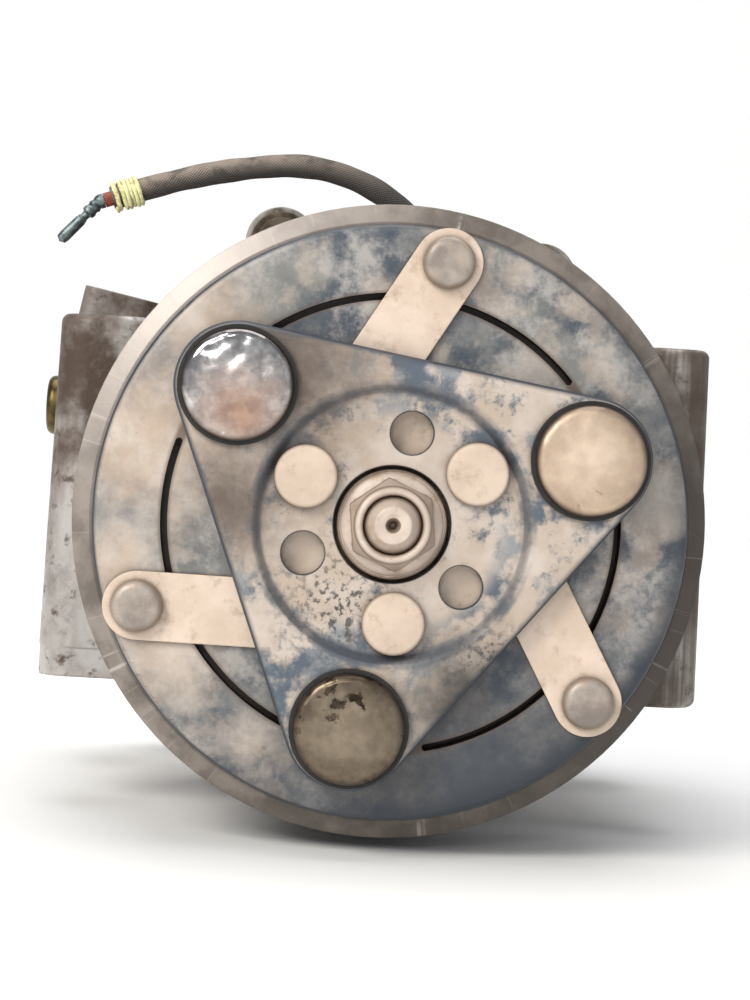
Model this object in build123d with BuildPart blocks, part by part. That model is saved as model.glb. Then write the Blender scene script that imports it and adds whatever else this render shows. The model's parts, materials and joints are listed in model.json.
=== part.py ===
from build123d import *
import os
from math import atan2, ceil, cos, degrees, pi, radians, sin, tan

# A belt-driven vehicle air-conditioning compressor: an electromagnetic clutch in front of a scroll pump.
# Millimetres. The origin is on the shaft line, at the centre of the four vertical mounting bolts. +Z is up, and
# +X is to the right when facing the clutch. A station is a distance forward from the origin along the shaft,
# toward the clutch, so station s is y = -s. Angles round the shaft are counted from +X toward +Z.

# ---- driving dimensions ----------------------------------------------------------------------------------

# Clutch front, from the nut back to the pulley
nut_flats = 14.0
nut_flange_radius = 9.5
nut_flange_height = 1.2
nut_slope_radius = 7.2
nut_slope_height = 1.5
nut_cone_radius = 12.0
nut_crown_radius = 6.6
nut_crown_edge = 1.2
nut_thread_inlet = 0.5
nut_hex_front = 84.4
nut_turn = 36.7
thread_radius = 5.0
spline_radius = 7.0
shaft_tip = 87.3
shaft_tip_edge = 1.9
centre_drill_depth = 2.4
nut_front = 86.8
nut_back = 78.0
armature_front = 79.0
armature_back = 75.0
armature_radius = 51.2
armature_edge = 1.3
armature_bore = 24.6
flux_slot_radius = 38.9
flux_slot_width = 1.2
flux_slot_start = 11.2
flux_slot_sweep = 106.0
spring_thickness = 1.0
spring_width = 11.8
outer_rivet_circle = 45.6
outer_rivet_angle = 80.9
outer_rivet_head = 4.5
outer_rivet_height = 2.6
outer_rivet_edge = 1.6
hub_rivet_circle = 16.8
hub_rivet_angle = 33.8
hub_rivet_head = 5.4
hub_rivet_height = 2.2
hub_rivet_edge = 0.8
rivet_shank = 3.2
puller_circle = 15.9
puller_angle = 80.8
puller_radius = 3.7
damper_circle = 35.3
damper_angle = 21.1
damper_cap_radius = 9.5
damper_ring_radius = 10.2
damper_ring_height = 1.3
damper_body_radius = 8.5
damper_stem = 6.5
damper_pin_radius = 3.5
damper_cap_thickness = 2.5
damper_cap_edge = 1.5
plate_corner = 10.9
plate_back = 81.5
plate_front = 84.0
plate_edge = 1.6
dish_back = armature_front + spring_thickness
dish_front = 82.5
dish_radius = 23.9
dish_slope = 1.6
dish_lip = 0.6
hub_opening = 10.0
hub_flange_radius = 24.0
hub_flange_back = 75.4
hub_boss_radius = 11.0
hub_boss_back = 62.5
shim_radius = 10.0
shim_thickness = 0.5

# Pulley and its bearing
pulley_radius = 55.0
pulley_front = 74.5
pulley_back = 46.0
rim_front = 72.8
rim_inner = 51.9
back_chamfer = 0.8
web_back = 68.5
coil_room_outer = 48.2
pulley_tube_radius = 31.0
pulley_tube_back = 49.9
rib_count = 7
rib_pitch = 3.56
rib_depth = 2.9
rib_half_angle = 20.0
groove_floor_half = 0.35
groove_lip = 0.45
front_flange = 2.2
face_slots = ((33.6, 1.4), (44.6, 1.6))
face_slot_start = 15.0
face_slot_sweep = 100.0
bearing_outer = 27.5
bearing_bore = 17.5
bearing_back = 50.0
bearing_front = 70.0
bearing_centre = 60.0
row_offset = 4.6
race_half = 1.6
pulley_ball = 2.75
pulley_ball_circle = 22.5
pulley_balls_per_row = 16
pulley_cage_half = 3.6
pulley_cage_wall = 0.7
clip_thickness = 1.2
clip_play = 0.1

# Coil
coil_inner = 32.0
coil_outer = 47.6
coil_wall = 2.0
coil_back = 46.0
coil_front = 67.5
coil_seat = 22.0
coil_dimple = 1.6
coil_dimple_circle = 41.0
coil_clip_back = 48.05

# Housing
body_radius = 52.0
bell_shoulder = 30.0
bell_front = 38.0
bell_radius = 42.0
pad_radius = 36.0
nose_front = 73.0
nose_bore = 13.0
seal_bore = 12.5
seal_back = 51.0
seal_front = 58.4
front_bearing_bore = 12.0
joint_station = 6.0
skirt_back = -26.0
skirt_radius = 54.0
rear_radius = 50.0
rear_edge = 5.0
rear_end = -60.0
rear_wall = 6.0
bolt_circle = 55.5
bolt_angles = (0, 58, 113, 180, 245, 299)
bolt_lobe = 7.0
lobe_depth = 8.0
lobe_root = 49.5
bolt_radius = 3.0
bolt_flange_radius = 6.0
bolt_flange_height = 0.9
bolt_head_radius = 4.6
bolt_head_height = 4.6
chamber_radius = 43.0
scroll_bore = 49.5
ring_circle = 51.2
ring_section = 0.8

# Mounting tubes
mount_x = 53.0
mount_station = 30.0
tube_top = 34.2
tube_bottom = -33.2
tube_depth = 20.0
left_half_width = 9.3
right_half_width = 7.8
tube_corner = 5.5
tube_draft = 1.0
tube_growth = 1.2
tube_band = 5.5
tube_band_growth = 1.7
tube_round = 1.6
tube_web_depth = 13.0
tube_web_height = 52.0
sleeve_radius = 6.0
sleeve_length = 14.0
mount_bolt_radius = 4.25

# Columns that stand behind the fixed scroll, and their screws
column_circle = 30.0
column_radius = 6.0

# Scroll pump
base_radius = 2.5
orbit = 3.95
flank_gap = 0.1
scroll_wall = pi * base_radius - orbit - flank_gap
wrap_start = 2.4
wrap_end = 14.6
wrap_step = pi / 8
wrap_front = -3.0
wrap_back = -23.0
tip_gap = 0.05
orbit_plate_radius = 41.0
orbit_plate_front = 2.0
fixed_plate_back = -29.0
cup_bore = 45.3
cup_radius = 49.4
boss_radius = 16.7
boss_front = 13.0
cell_radius = 24.0

# Crankshaft and its bearings
crank_pin_offset = 5.5
crank_pin_radius = 4.0
crank_pin_back = 2.6
crank_disc_radius = 16.0
crank_flat = 12.0
crank_back = 14.0
crank_front = 19.5
counterweight_radius = 23.0
journal_radius = 10.0
seal_journal = 8.0
main_back = 20.0
main_front = 32.0
main_outer = 21.0
main_ball = 3.25
main_ball_circle = 15.5
main_ball_count = 9
front_bearing_back = 38.0
front_bearing_front = 50.0
front_needle = 1.25
front_needle_circle = 9.28
front_needle_count = 18
bush_radius = 10.0
bush_back = 4.0
bush_length = 9.0
orbit_needle = 1.0
orbit_needle_circle = 11.03
orbit_needle_count = 20

# Ball coupling that stops the orbiting scroll from turning
coupling_inner = 29.0
coupling_thickness = 1.0
coupling_circle = 35.0
coupling_ball = 2.4
coupling_count = 12
coupling_station = 4.5
ledge_station = 7.0

# Ports and relief valve
port_block_x = -52.8
port_block_station = -6.0
port_block_width = 15.0
port_block_depth = 20.0
port_block_top = 39.8
port_block_middle = 12.0
port_block_corner = 3.0
port_root_height = 26.0
port_head_height = 13.0
port_tilt = 11.0
port_radius = 5.0
port_depth = 19.0
suction_height = 25.0
rear_port_x = 13.0
rear_port_z = 0.0
rear_port_radius = 5.0
rear_pad_radius = 9.5
rear_stud_pad_radius = 5.5
rear_stud_bore = 2.5
rear_pad_end = -67.0
rear_pad_height = 9.0
plug_height = -32.0
plug_radius = 4.0
plug_head_radius = 6.5
plug_head_height = 4.5
valve_station = -49.0
valve_height = 17.0
valve_seat_x = -56.0
valve_tip_x = -70.8
valve_radius = 6.4
valve_boss_radius = 9.0
spring_height = 12.7
valve_hex_half = 7.0
valve_stem_radius = 4.0
valve_stem_length = 9.0

# Coil lead: a stiff sleeved wire that stands up behind the pulley and arches over to the left
lead_radius = 2.2
lead_route = [
    (9.6, -42.0, 46.9),
    (4.0, -42.0, 54.0),
    (-5.5, -41.8, 60.9),
    (-17.0, -41.6, 64.0),
    (-29.0, -41.8, 62.6),
    (-41.5, -42.6, 59.6),
    (-53.0, -43.6, 55.4),
]
tie_radius = 2.9
tie_length = 5.2
insulation_radius = 1.35
insulation_length = 1.4
ferrule_radius = 1.5
ferrule_length = 1.2
crimp_radius = 1.35
crimp_length = 4.0
barrel_radius = 1.05
barrel_length = 6.0
barrel_end_length = 2.6
terminal_length = 11.6
terminal_drop = 28.0
grommet_width = 9.0
grommet_depth = 7.7
grommet_height = 7.4

running_gap = 0.05
BASE = (Align.CENTER, Align.CENTER, Align.MIN)
SHAFT = Plane.XZ

os.makedirs("parts", exist_ok=True)


# ---- helpers ---------------------------------------------------------------------------------------------


def disc(radius, back, front, mode=Mode.ADD):
    """A round disc on the shaft line, or round the current location, between two stations."""
    with Locations((0, 0, back)):
        Cylinder(radius, front - back, align=BASE, mode=mode)


def cut(radius, back, front):
    """Removes a round disc between two stations."""
    disc(radius, back, front, Mode.SUBTRACT)


def on_circle(radius, angle):
    """The x and z of a point round the shaft."""
    return radius * cos(radians(angle)), radius * sin(radians(angle))


def save(piece, label):
    """Names a finished piece and writes its file."""
    piece.part.label = label
    export_step(piece.part, f"parts/{label}.step")


def snap_ring(inner, outer, back, front, label, gap=6.0):
    """An open wire ring that springs into a groove, with its gap at the bottom."""
    with BuildPart(SHAFT) as piece:
        disc(outer, back, front)
        cut(inner, back, front)
        with Locations((0, -outer, back)):
            Box(gap, 2 * (outer - inner) + 2, front - back, align=BASE, mode=Mode.SUBTRACT)
    save(piece, label)


def flank(angle, offset):
    """A point beside the involute of the base circle, offset outward along its normal."""
    reach = base_radius * angle + offset
    return (
        base_radius * cos(angle) + reach * sin(angle),
        base_radius * sin(angle) - reach * cos(angle),
    )


def wrap(station, thickness, start, end, centre, turn):
    """The face of a scroll wall: two involute flanks joined by straight ends."""
    steps = ceil((end - start) / wrap_step)
    angles = [start + (end - start) * i / steps for i in range(steps + 1)]
    outer = [flank(angle, thickness / 2) for angle in angles]
    inner = [flank(angle, -thickness / 2) for angle in angles]
    with BuildSketch(SHAFT.offset(station)) as face:
        with BuildLine():
            Spline(*outer)
            Line(outer[-1], inner[-1])
            Spline(*inner)
            Line(inner[0], outer[0])
        make_face()
    return face.sketch.rotate(Axis((0, 0, 0), (0, -1, 0)), turn).translate((centre, 0, 0))


def ball_cage(label, circle, ball, count, rows, half_length, wall):
    """A thin ring between two races with a round pocket for each ball."""
    with BuildPart(SHAFT) as piece:
        for row in rows:
            disc(circle + wall, row - half_length, row + half_length)
            cut(circle - wall, row - half_length, row + half_length)
        for row in rows:
            with Locations((0, 0, row)):
                with PolarLocations(circle, count):
                    Cylinder(ball + running_gap, 6 * wall, rotation=(0, 90, 0), mode=Mode.SUBTRACT)
    save(piece, label)


def race(label, outer, inner, back, front, rows, circle, ball):
    """A bearing ring with a groove for each row of balls."""
    with BuildPart(SHAFT) as piece:
        disc(outer, back, front)
        cut(inner, back, front)
        for row in rows:
            with Locations((0, 0, row)):
                Torus(circle, ball + running_gap, mode=Mode.SUBTRACT)
    save(piece, label)


# ---- clutch front ----------------------------------------------------------------------------------------

with BuildPart(SHAFT) as shaft_nut:
    with BuildSketch(SHAFT.offset(nut_back)):
        RegularPolygon(nut_flats / 2, 6, major_radius=False, rotation=nut_turn)
    extrude(amount=nut_hex_front - nut_back)
    with Locations((0, 0, nut_back)):
        Cone(nut_cone_radius, nut_crown_radius, nut_hex_front - nut_back, align=BASE, mode=Mode.INTERSECT)
    disc(nut_flange_radius, nut_back, nut_back + nut_flange_height)
    with Locations((0, 0, nut_back + nut_flange_height)):
        Cone(nut_flange_radius, nut_slope_radius, nut_slope_height, align=BASE)
    disc(nut_crown_radius, nut_back + nut_flange_height, nut_front)
    chamfer(shaft_nut.faces().sort_by(Axis.Y)[0].edges(), nut_crown_edge)
    cut(thread_radius, nut_back, nut_front)
    with Locations((0, 0, nut_front - nut_thread_inlet)):
        Cone(thread_radius, thread_radius + nut_thread_inlet, nut_thread_inlet, align=BASE, mode=Mode.SUBTRACT)
save(shaft_nut, "shaft_nut")

with BuildPart(SHAFT) as drive_hub:
    disc(hub_flange_radius, hub_flange_back, armature_front)
    disc(hub_boss_radius, hub_boss_back, hub_flange_back)
    cut(spline_radius, hub_boss_back, armature_front)
    cut(hub_opening, nut_back, armature_front)
    with PolarLocations(hub_rivet_circle, 3, start_angle=hub_rivet_angle):
        cut(rivet_shank, hub_flange_back, armature_front)
save(drive_hub, "drive_hub")

with BuildPart(SHAFT) as hub_shim:
    disc(shim_radius, hub_boss_back - shim_thickness, hub_boss_back)
    cut(spline_radius, hub_boss_back - shim_thickness, hub_boss_back)
save(hub_shim, "hub_shim")

with BuildPart(SHAFT) as stopper_plate:
    with BuildSketch(SHAFT.offset(plate_back)):
        with PolarLocations(damper_circle, 3, start_angle=damper_angle):
            Circle(plate_corner)
        make_hull()
    extrude(amount=plate_front - plate_back)
    fillet(stopper_plate.faces().sort_by(Axis.Y)[0].edges(), plate_edge)
    with Locations((0, 0, dish_front)):
        Cone(dish_radius - dish_slope, dish_radius, plate_front - dish_front, align=BASE, mode=Mode.SUBTRACT)
    disc(dish_radius + dish_lip, dish_back, dish_front)
    cut(hub_opening, dish_back, dish_front)
    with PolarLocations(hub_rivet_circle, 3, start_angle=hub_rivet_angle):
        cut(rivet_shank, dish_back, dish_front)
    with PolarLocations(puller_circle, 3, start_angle=puller_angle):
        cut(puller_radius, dish_back, dish_front)
    with PolarLocations(damper_circle, 3, start_angle=damper_angle):
        cut(damper_stem, plate_back, plate_front)
save(stopper_plate, "stopper_plate")

cap_back = plate_front + damper_ring_height
with BuildPart(SHAFT) as damper_rubbers:
    with PolarLocations(damper_circle, 3, start_angle=damper_angle):
        disc(damper_body_radius, armature_front + running_gap, plate_back)
        disc(damper_stem, plate_back, plate_front)
        disc(damper_ring_radius, plate_front, cap_back)
        cut(damper_pin_radius, armature_front, cap_back)
save(damper_rubbers, "damper_rubbers")

with BuildPart(SHAFT) as damper_caps:
    with PolarLocations(damper_circle, 3, start_angle=damper_angle):
        disc(damper_cap_radius, cap_back, cap_back + damper_cap_thickness)
    fillet(damper_caps.faces().group_by(Axis.Y)[0].edges(), damper_cap_edge)
    with PolarLocations(damper_circle, 3, start_angle=damper_angle):
        disc(damper_pin_radius, armature_front + spring_thickness, cap_back)
save(damper_caps, "damper_caps")

with BuildPart(SHAFT) as leaf_springs:
    with BuildSketch(SHAFT.offset(armature_front)):
        for k in range(3):
            outer_end = Vector(*on_circle(outer_rivet_circle, outer_rivet_angle + 120 * k))
            inner_end = Vector(*on_circle(hub_rivet_circle, hub_rivet_angle + 120 * (k + 1)))
            run = inner_end - outer_end
            with Locations((outer_end + inner_end) * 0.5):
                SlotCenterToCenter(run.length, spring_width, rotation=degrees(atan2(run.Y, run.X)))
        with PolarLocations(outer_rivet_circle, 3, start_angle=outer_rivet_angle):
            Circle(rivet_shank, mode=Mode.SUBTRACT)
        with PolarLocations(hub_rivet_circle, 3, start_angle=hub_rivet_angle):
            Circle(rivet_shank, mode=Mode.SUBTRACT)
    extrude(amount=spring_thickness)
save(leaf_springs, "leaf_springs")

rivet_base = armature_front + spring_thickness
with BuildPart(SHAFT) as armature_rivets:
    with PolarLocations(outer_rivet_circle, 3, start_angle=outer_rivet_angle):
        disc(outer_rivet_head, rivet_base, rivet_base + outer_rivet_height)
    fillet(armature_rivets.faces().group_by(Axis.Y)[0].edges(), outer_rivet_edge)
    with PolarLocations(outer_rivet_circle, 3, start_angle=outer_rivet_angle):
        disc(rivet_shank, armature_back + 0.3, rivet_base)
save(armature_rivets, "armature_rivets")

with BuildPart(SHAFT) as hub_rivets:
    with PolarLocations(hub_rivet_circle, 3, start_angle=hub_rivet_angle):
        disc(hub_rivet_head, dish_front, dish_front + hub_rivet_height)
    fillet(hub_rivets.faces().group_by(Axis.Y)[0].edges(), hub_rivet_edge)
    with PolarLocations(hub_rivet_circle, 3, start_angle=hub_rivet_angle):
        disc(rivet_shank, hub_flange_back, dish_front)
save(hub_rivets, "hub_rivets")

with BuildPart(SHAFT) as armature_plate:
    disc(armature_radius, armature_back, armature_front)
    fillet(armature_plate.faces().sort_by(Axis.Y)[0].edges(), armature_edge)
    cut(armature_bore, armature_back, armature_front)
    with BuildSketch(SHAFT.offset(armature_back)):
        for k in range(3):
            start = outer_rivet_angle + flux_slot_start + 120 * k
            SlotArc(
                CenterArc((0, 0), flux_slot_radius, start, flux_slot_sweep, mode=Mode.PRIVATE),
                flux_slot_width,
            )
    extrude(amount=armature_front - armature_back, mode=Mode.SUBTRACT)
    with PolarLocations(outer_rivet_circle, 3, start_angle=outer_rivet_angle):
        cut(rivet_shank, armature_back, armature_front)
save(armature_plate, "armature_plate")

# ---- pulley and its double-row bearing -------------------------------------------------------------------

groove_half = rib_depth * tan(radians(rib_half_angle))
bearing_rows = (bearing_centre - row_offset, bearing_centre + row_offset)
clip_back = bearing_front + clip_play
clip_front = clip_back + clip_thickness
with BuildPart(SHAFT) as pulley:
    disc(pulley_radius, pulley_back, rim_front)
    chamfer(pulley.faces().sort_by(Axis.Y)[-1].edges(), back_chamfer)
    with Locations((0, 0, rim_front)):
        Cone(pulley_radius, rim_inner, pulley_front - rim_front, align=BASE)
    cut(coil_room_outer, pulley_back, web_back)
    disc(pulley_tube_radius, pulley_tube_back, web_back)
    cut(bearing_outer, pulley_tube_back, pulley_front)
    with BuildSketch(Plane.XY):
        for k in range(rib_count):
            station = pulley_front - front_flange - rib_pitch * (k + 0.5)
            with Locations((pulley_radius, -station)):
                Polygon(
                    (groove_lip, groove_half + groove_lip),
                    (groove_lip, -groove_half - groove_lip),
                    (-rib_depth, -groove_floor_half),
                    (-rib_depth, groove_floor_half),
                    align=None,
                )
    revolve(axis=Axis.Y, mode=Mode.SUBTRACT)
    with BuildSketch(SHAFT.offset(web_back)):
        for radius, width in face_slots:
            for k in range(3):
                start = face_slot_start + 120 * k
                SlotArc(CenterArc((0, 0), radius, start, face_slot_sweep, mode=Mode.PRIVATE), width)
    extrude(amount=pulley_front - web_back, mode=Mode.SUBTRACT)
    cut(bearing_outer + 1.0, clip_back, clip_front + clip_play)
save(pulley, "pulley")

race("pulley_bearing_outer", bearing_outer, pulley_ball_circle + race_half, bearing_back, bearing_front,
     bearing_rows, pulley_ball_circle, pulley_ball)
race("pulley_bearing_inner", pulley_ball_circle - race_half, bearing_bore, bearing_back, bearing_front,
     bearing_rows, pulley_ball_circle, pulley_ball)
ball_cage("pulley_bearing_cage", pulley_ball_circle, pulley_ball, pulley_balls_per_row, bearing_rows,
          pulley_cage_half, pulley_cage_wall)

with BuildPart(SHAFT) as pulley_bearing_balls:
    for row in bearing_rows:
        with Locations((0, 0, row)):
            with PolarLocations(pulley_ball_circle, pulley_balls_per_row):
                Sphere(pulley_ball)
save(pulley_bearing_balls, "pulley_bearing_balls")

with BuildPart(SHAFT) as pulley_bearing_seals:
    for back in (bearing_back + 0.3, bearing_front - 1.3):
        disc(pulley_ball_circle + race_half, back, back + 1.0)
        cut(pulley_ball_circle - race_half + 0.1, back, back + 1.0)
save(pulley_bearing_seals, "pulley_bearing_seals")

snap_ring(bearing_outer - 2.2, bearing_outer + 0.95, clip_back, clip_front, "pulley_snap_ring", 7.0)
snap_ring(bearing_bore - 1.0, bearing_bore + 2.0, clip_back, clip_front, "nose_snap_ring", 5.0)

# ---- coil ------------------------------------------------------------------------------------------------

with BuildPart(SHAFT) as coil_housing:
    disc(coil_outer, coil_back, coil_front)
    cut(coil_outer - coil_wall, coil_back + coil_wall, coil_front)
    disc(coil_inner + coil_wall, coil_back + coil_wall, coil_front)
    cut(coil_inner, coil_back + coil_wall, coil_front)
    cut(coil_seat, coil_back, coil_back + coil_wall)
    with PolarLocations(coil_dimple_circle, 6, start_angle=20):
        cut(coil_dimple, coil_back, coil_back + coil_wall)
save(coil_housing, "coil_housing")

with BuildPart(SHAFT) as coil_winding:
    disc(coil_outer - coil_wall, coil_back + coil_wall, coil_front - 1.0)
    cut(coil_inner + coil_wall, coil_back + coil_wall, coil_front - 1.0)
    fillet(coil_winding.faces().sort_by(Axis.Y)[0].edges(), 0.8)
save(coil_winding, "coil_winding")

snap_ring(coil_seat - 1.3, coil_seat + 2.5, coil_clip_back, coil_clip_back + clip_thickness,
          "coil_snap_ring", 8.0)

# ---- coil lead -------------------------------------------------------------------------------------------

route = [Vector(*point) for point in lead_route]
runs = [b - a for a, b in zip(route, route[1:])]
turns = [a.get_angle(b) for a, b in zip(runs, runs[1:])]
radii = [
    0.45 * min(a.length, b.length) / tan(radians(turn) / 2)
    for a, b, turn in zip(runs, runs[1:], turns)
]
print("lead radii", [round(radius, 1) for radius in radii])

with BuildPart() as coil_lead:
    with BuildLine() as lead_path:
        FilletPolyline(*route, radius=radii)
    with BuildSketch(Plane(route[0], z_dir=runs[0])):
        Circle(lead_radius)
    sweep()
save(coil_lead, "coil_lead")
lead_length = sum(edge.length for edge in lead_path.edges())
print("lead length", round(lead_length, 2))
print("lead volume over section times length",
      round(coil_lead.part.volume / (pi * lead_radius ** 2 * lead_length), 4))

lead_way = runs[-1].normalized()
lead_end = Plane(route[-1], z_dir=lead_way)
with BuildPart(lead_end.offset(-tie_length - 0.2)) as lead_tie:
    Cylinder(tie_radius, tie_length, align=BASE)
    Cylinder(lead_radius + running_gap, tie_length, align=BASE, mode=Mode.SUBTRACT)
save(lead_tie, "lead_tie")

with BuildPart(lead_end) as lead_insulation:
    Cylinder(insulation_radius, insulation_length, align=BASE)
save(lead_insulation, "lead_insulation")

# The terminal hangs down from the end of the insulation: a ferrule, a crimp, a thin barrel and its open end
terminal_way = lead_way.rotate(Axis.Y, -terminal_drop)
terminal_start = route[-1] + lead_way * (insulation_length + 0.02)
terminal_knee = terminal_start + lead_way * (ferrule_length - 0.2)
terminal_line = Plane(terminal_knee, z_dir=terminal_way)
with BuildPart(Plane(terminal_start, z_dir=lead_way)) as lead_terminal:
    Cylinder(ferrule_radius, ferrule_length, align=BASE)
    with BuildSketch(terminal_line):
        Circle(crimp_radius)
    extrude(amount=crimp_length)
    with BuildSketch(terminal_line.offset(crimp_length - 0.4)):
        Circle(barrel_radius)
    extrude(amount=barrel_length)
    with BuildSketch(terminal_line.offset(terminal_length - barrel_end_length - 1.0)):
        Circle(crimp_radius)
        Circle(barrel_radius - 0.35, mode=Mode.SUBTRACT)
    extrude(amount=barrel_end_length)
save(lead_terminal, "lead_terminal")

# The grommet stands behind the coil shell and turns the wire up into its sleeve
grommet_x = lead_route[0][0] - 0.6
grommet_place = (grommet_x, -42.15, 41.2)
with BuildPart() as lead_grommet:
    with Locations(grommet_place):
        Box(grommet_width, grommet_depth, grommet_height)
    fillet(lead_grommet.edges().filter_by(Axis.Z), 2.0)
    split(bisect_by=Plane(route[0], z_dir=runs[0]), keep=Keep.BOTTOM)
save(lead_grommet, "lead_grommet")

# ---- housings --------------------------------------------------------------------------------------------


def mounting_tubes(station):
    """The two upright lugs of one housing, cast with a little draft and a rounded top, and tied in by a web. The left
    one is faced to a narrow band at its foot, and the right one is rounded there as cast."""
    lugs = []
    for side, half_width in ((-1, left_half_width), (1, right_half_width)):
        width = 2 * half_width - tube_growth
        depth = tube_depth - tube_growth
        with BuildPart() as lug:
            with BuildSketch(Plane.XY.offset(tube_top)):
                with Locations((side * mount_x, -station)):
                    RectangleRounded(width, depth, tube_corner)
            extrude(amount=tube_bottom - tube_top, taper=-tube_draft)
            fillet(lug.faces().sort_by(Axis.Z)[-1].edges(), tube_round)
            if side > 0:
                fillet(lug.faces().sort_by(Axis.Z)[0].edges(), tube_round)
            else:
                with BuildSketch(Plane.XY.offset(tube_bottom)):
                    with Locations((side * mount_x, -station)):
                        RectangleRounded(2 * width, 2 * depth, tube_corner)
                        RectangleRounded(width + tube_band_growth, depth + tube_band_growth, tube_corner,
                                         mode=Mode.SUBTRACT)
                extrude(amount=tube_band, mode=Mode.SUBTRACT)
            with Locations((side * (mount_x - 14), -station, 0)):
                Box(24, tube_web_depth, tube_web_height)
        lugs.append(lug.part)
    return lugs


with BuildPart(SHAFT) as front_housing:
    disc(body_radius, joint_station, bell_shoulder)
    with Locations((0, 0, bell_shoulder)):
        Cone(body_radius, bell_radius, bell_front - bell_shoulder, align=BASE)
    for angle in bolt_angles:
        with Locations((*on_circle(bolt_circle, angle), joint_station)):
            Cylinder(bolt_lobe, lobe_depth, align=BASE)
        with Locations((*on_circle(lobe_root, angle), joint_station)):
            Box(2 * bolt_lobe, 2 * bolt_lobe, lobe_depth, align=BASE, rotation=(0, 0, angle))
    for lug in mounting_tubes(mount_station):
        add(SHAFT.to_local_coords(lug))
    disc(pad_radius, bell_front, coil_back)
    disc(coil_seat - running_gap, coil_back, bearing_back - 0.4)
    cut(coil_seat + 3.0, coil_back + coil_wall, coil_back + coil_wall + 1.3)
    disc(coil_seat - 1.3, coil_back, bearing_back - 0.4)
    disc(bearing_bore + 2.0, bearing_back - 0.4, bearing_back)
    disc(bearing_bore, bearing_back, nose_front)
    cut(bearing_bore + 1.0, bearing_front + 0.05, bearing_front + 1.35)
    disc(bearing_bore - 1.0, bearing_front, nose_front)
    cut(front_bearing_bore, main_front, nose_front)
    cut(seal_bore, front_bearing_front, nose_front)
    cut(nose_bore, seal_front + 0.1, nose_front)
    cut(nose_bore + 0.8, seal_front + 0.2, seal_front + 1.6)
    cut(main_outer, main_back, main_front)
    cut(cell_radius, joint_station, main_back)
    cut(cup_bore, joint_station, ledge_station)
    for angle in bolt_angles:
        with Locations((*on_circle(bolt_circle, angle), joint_station)):
            Cylinder(bolt_radius + 0.3, lobe_depth, align=BASE, mode=Mode.SUBTRACT)
            with Locations((0, 0, lobe_depth)):
                Cylinder(bolt_lobe + 0.6, lobe_depth + 1.0, align=BASE, mode=Mode.SUBTRACT)
    with Locations((grommet_x, grommet_place[2], 37.9)):
        Box(10.4, 12.0, 10.0, align=BASE, mode=Mode.SUBTRACT)
    for side in (-1, 1):
        for level in (tube_top, tube_bottom):
            with Locations(Location((side * mount_x, level, mount_station), (90, 0, 0))):
                Cylinder(sleeve_radius, 2 * sleeve_length, mode=Mode.SUBTRACT)
        with Locations(Location((side * mount_x, 0, mount_station), (90, 0, 0))):
            Cylinder(mount_bolt_radius, 100.0, mode=Mode.SUBTRACT)
save(front_housing, "front_housing")

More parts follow.
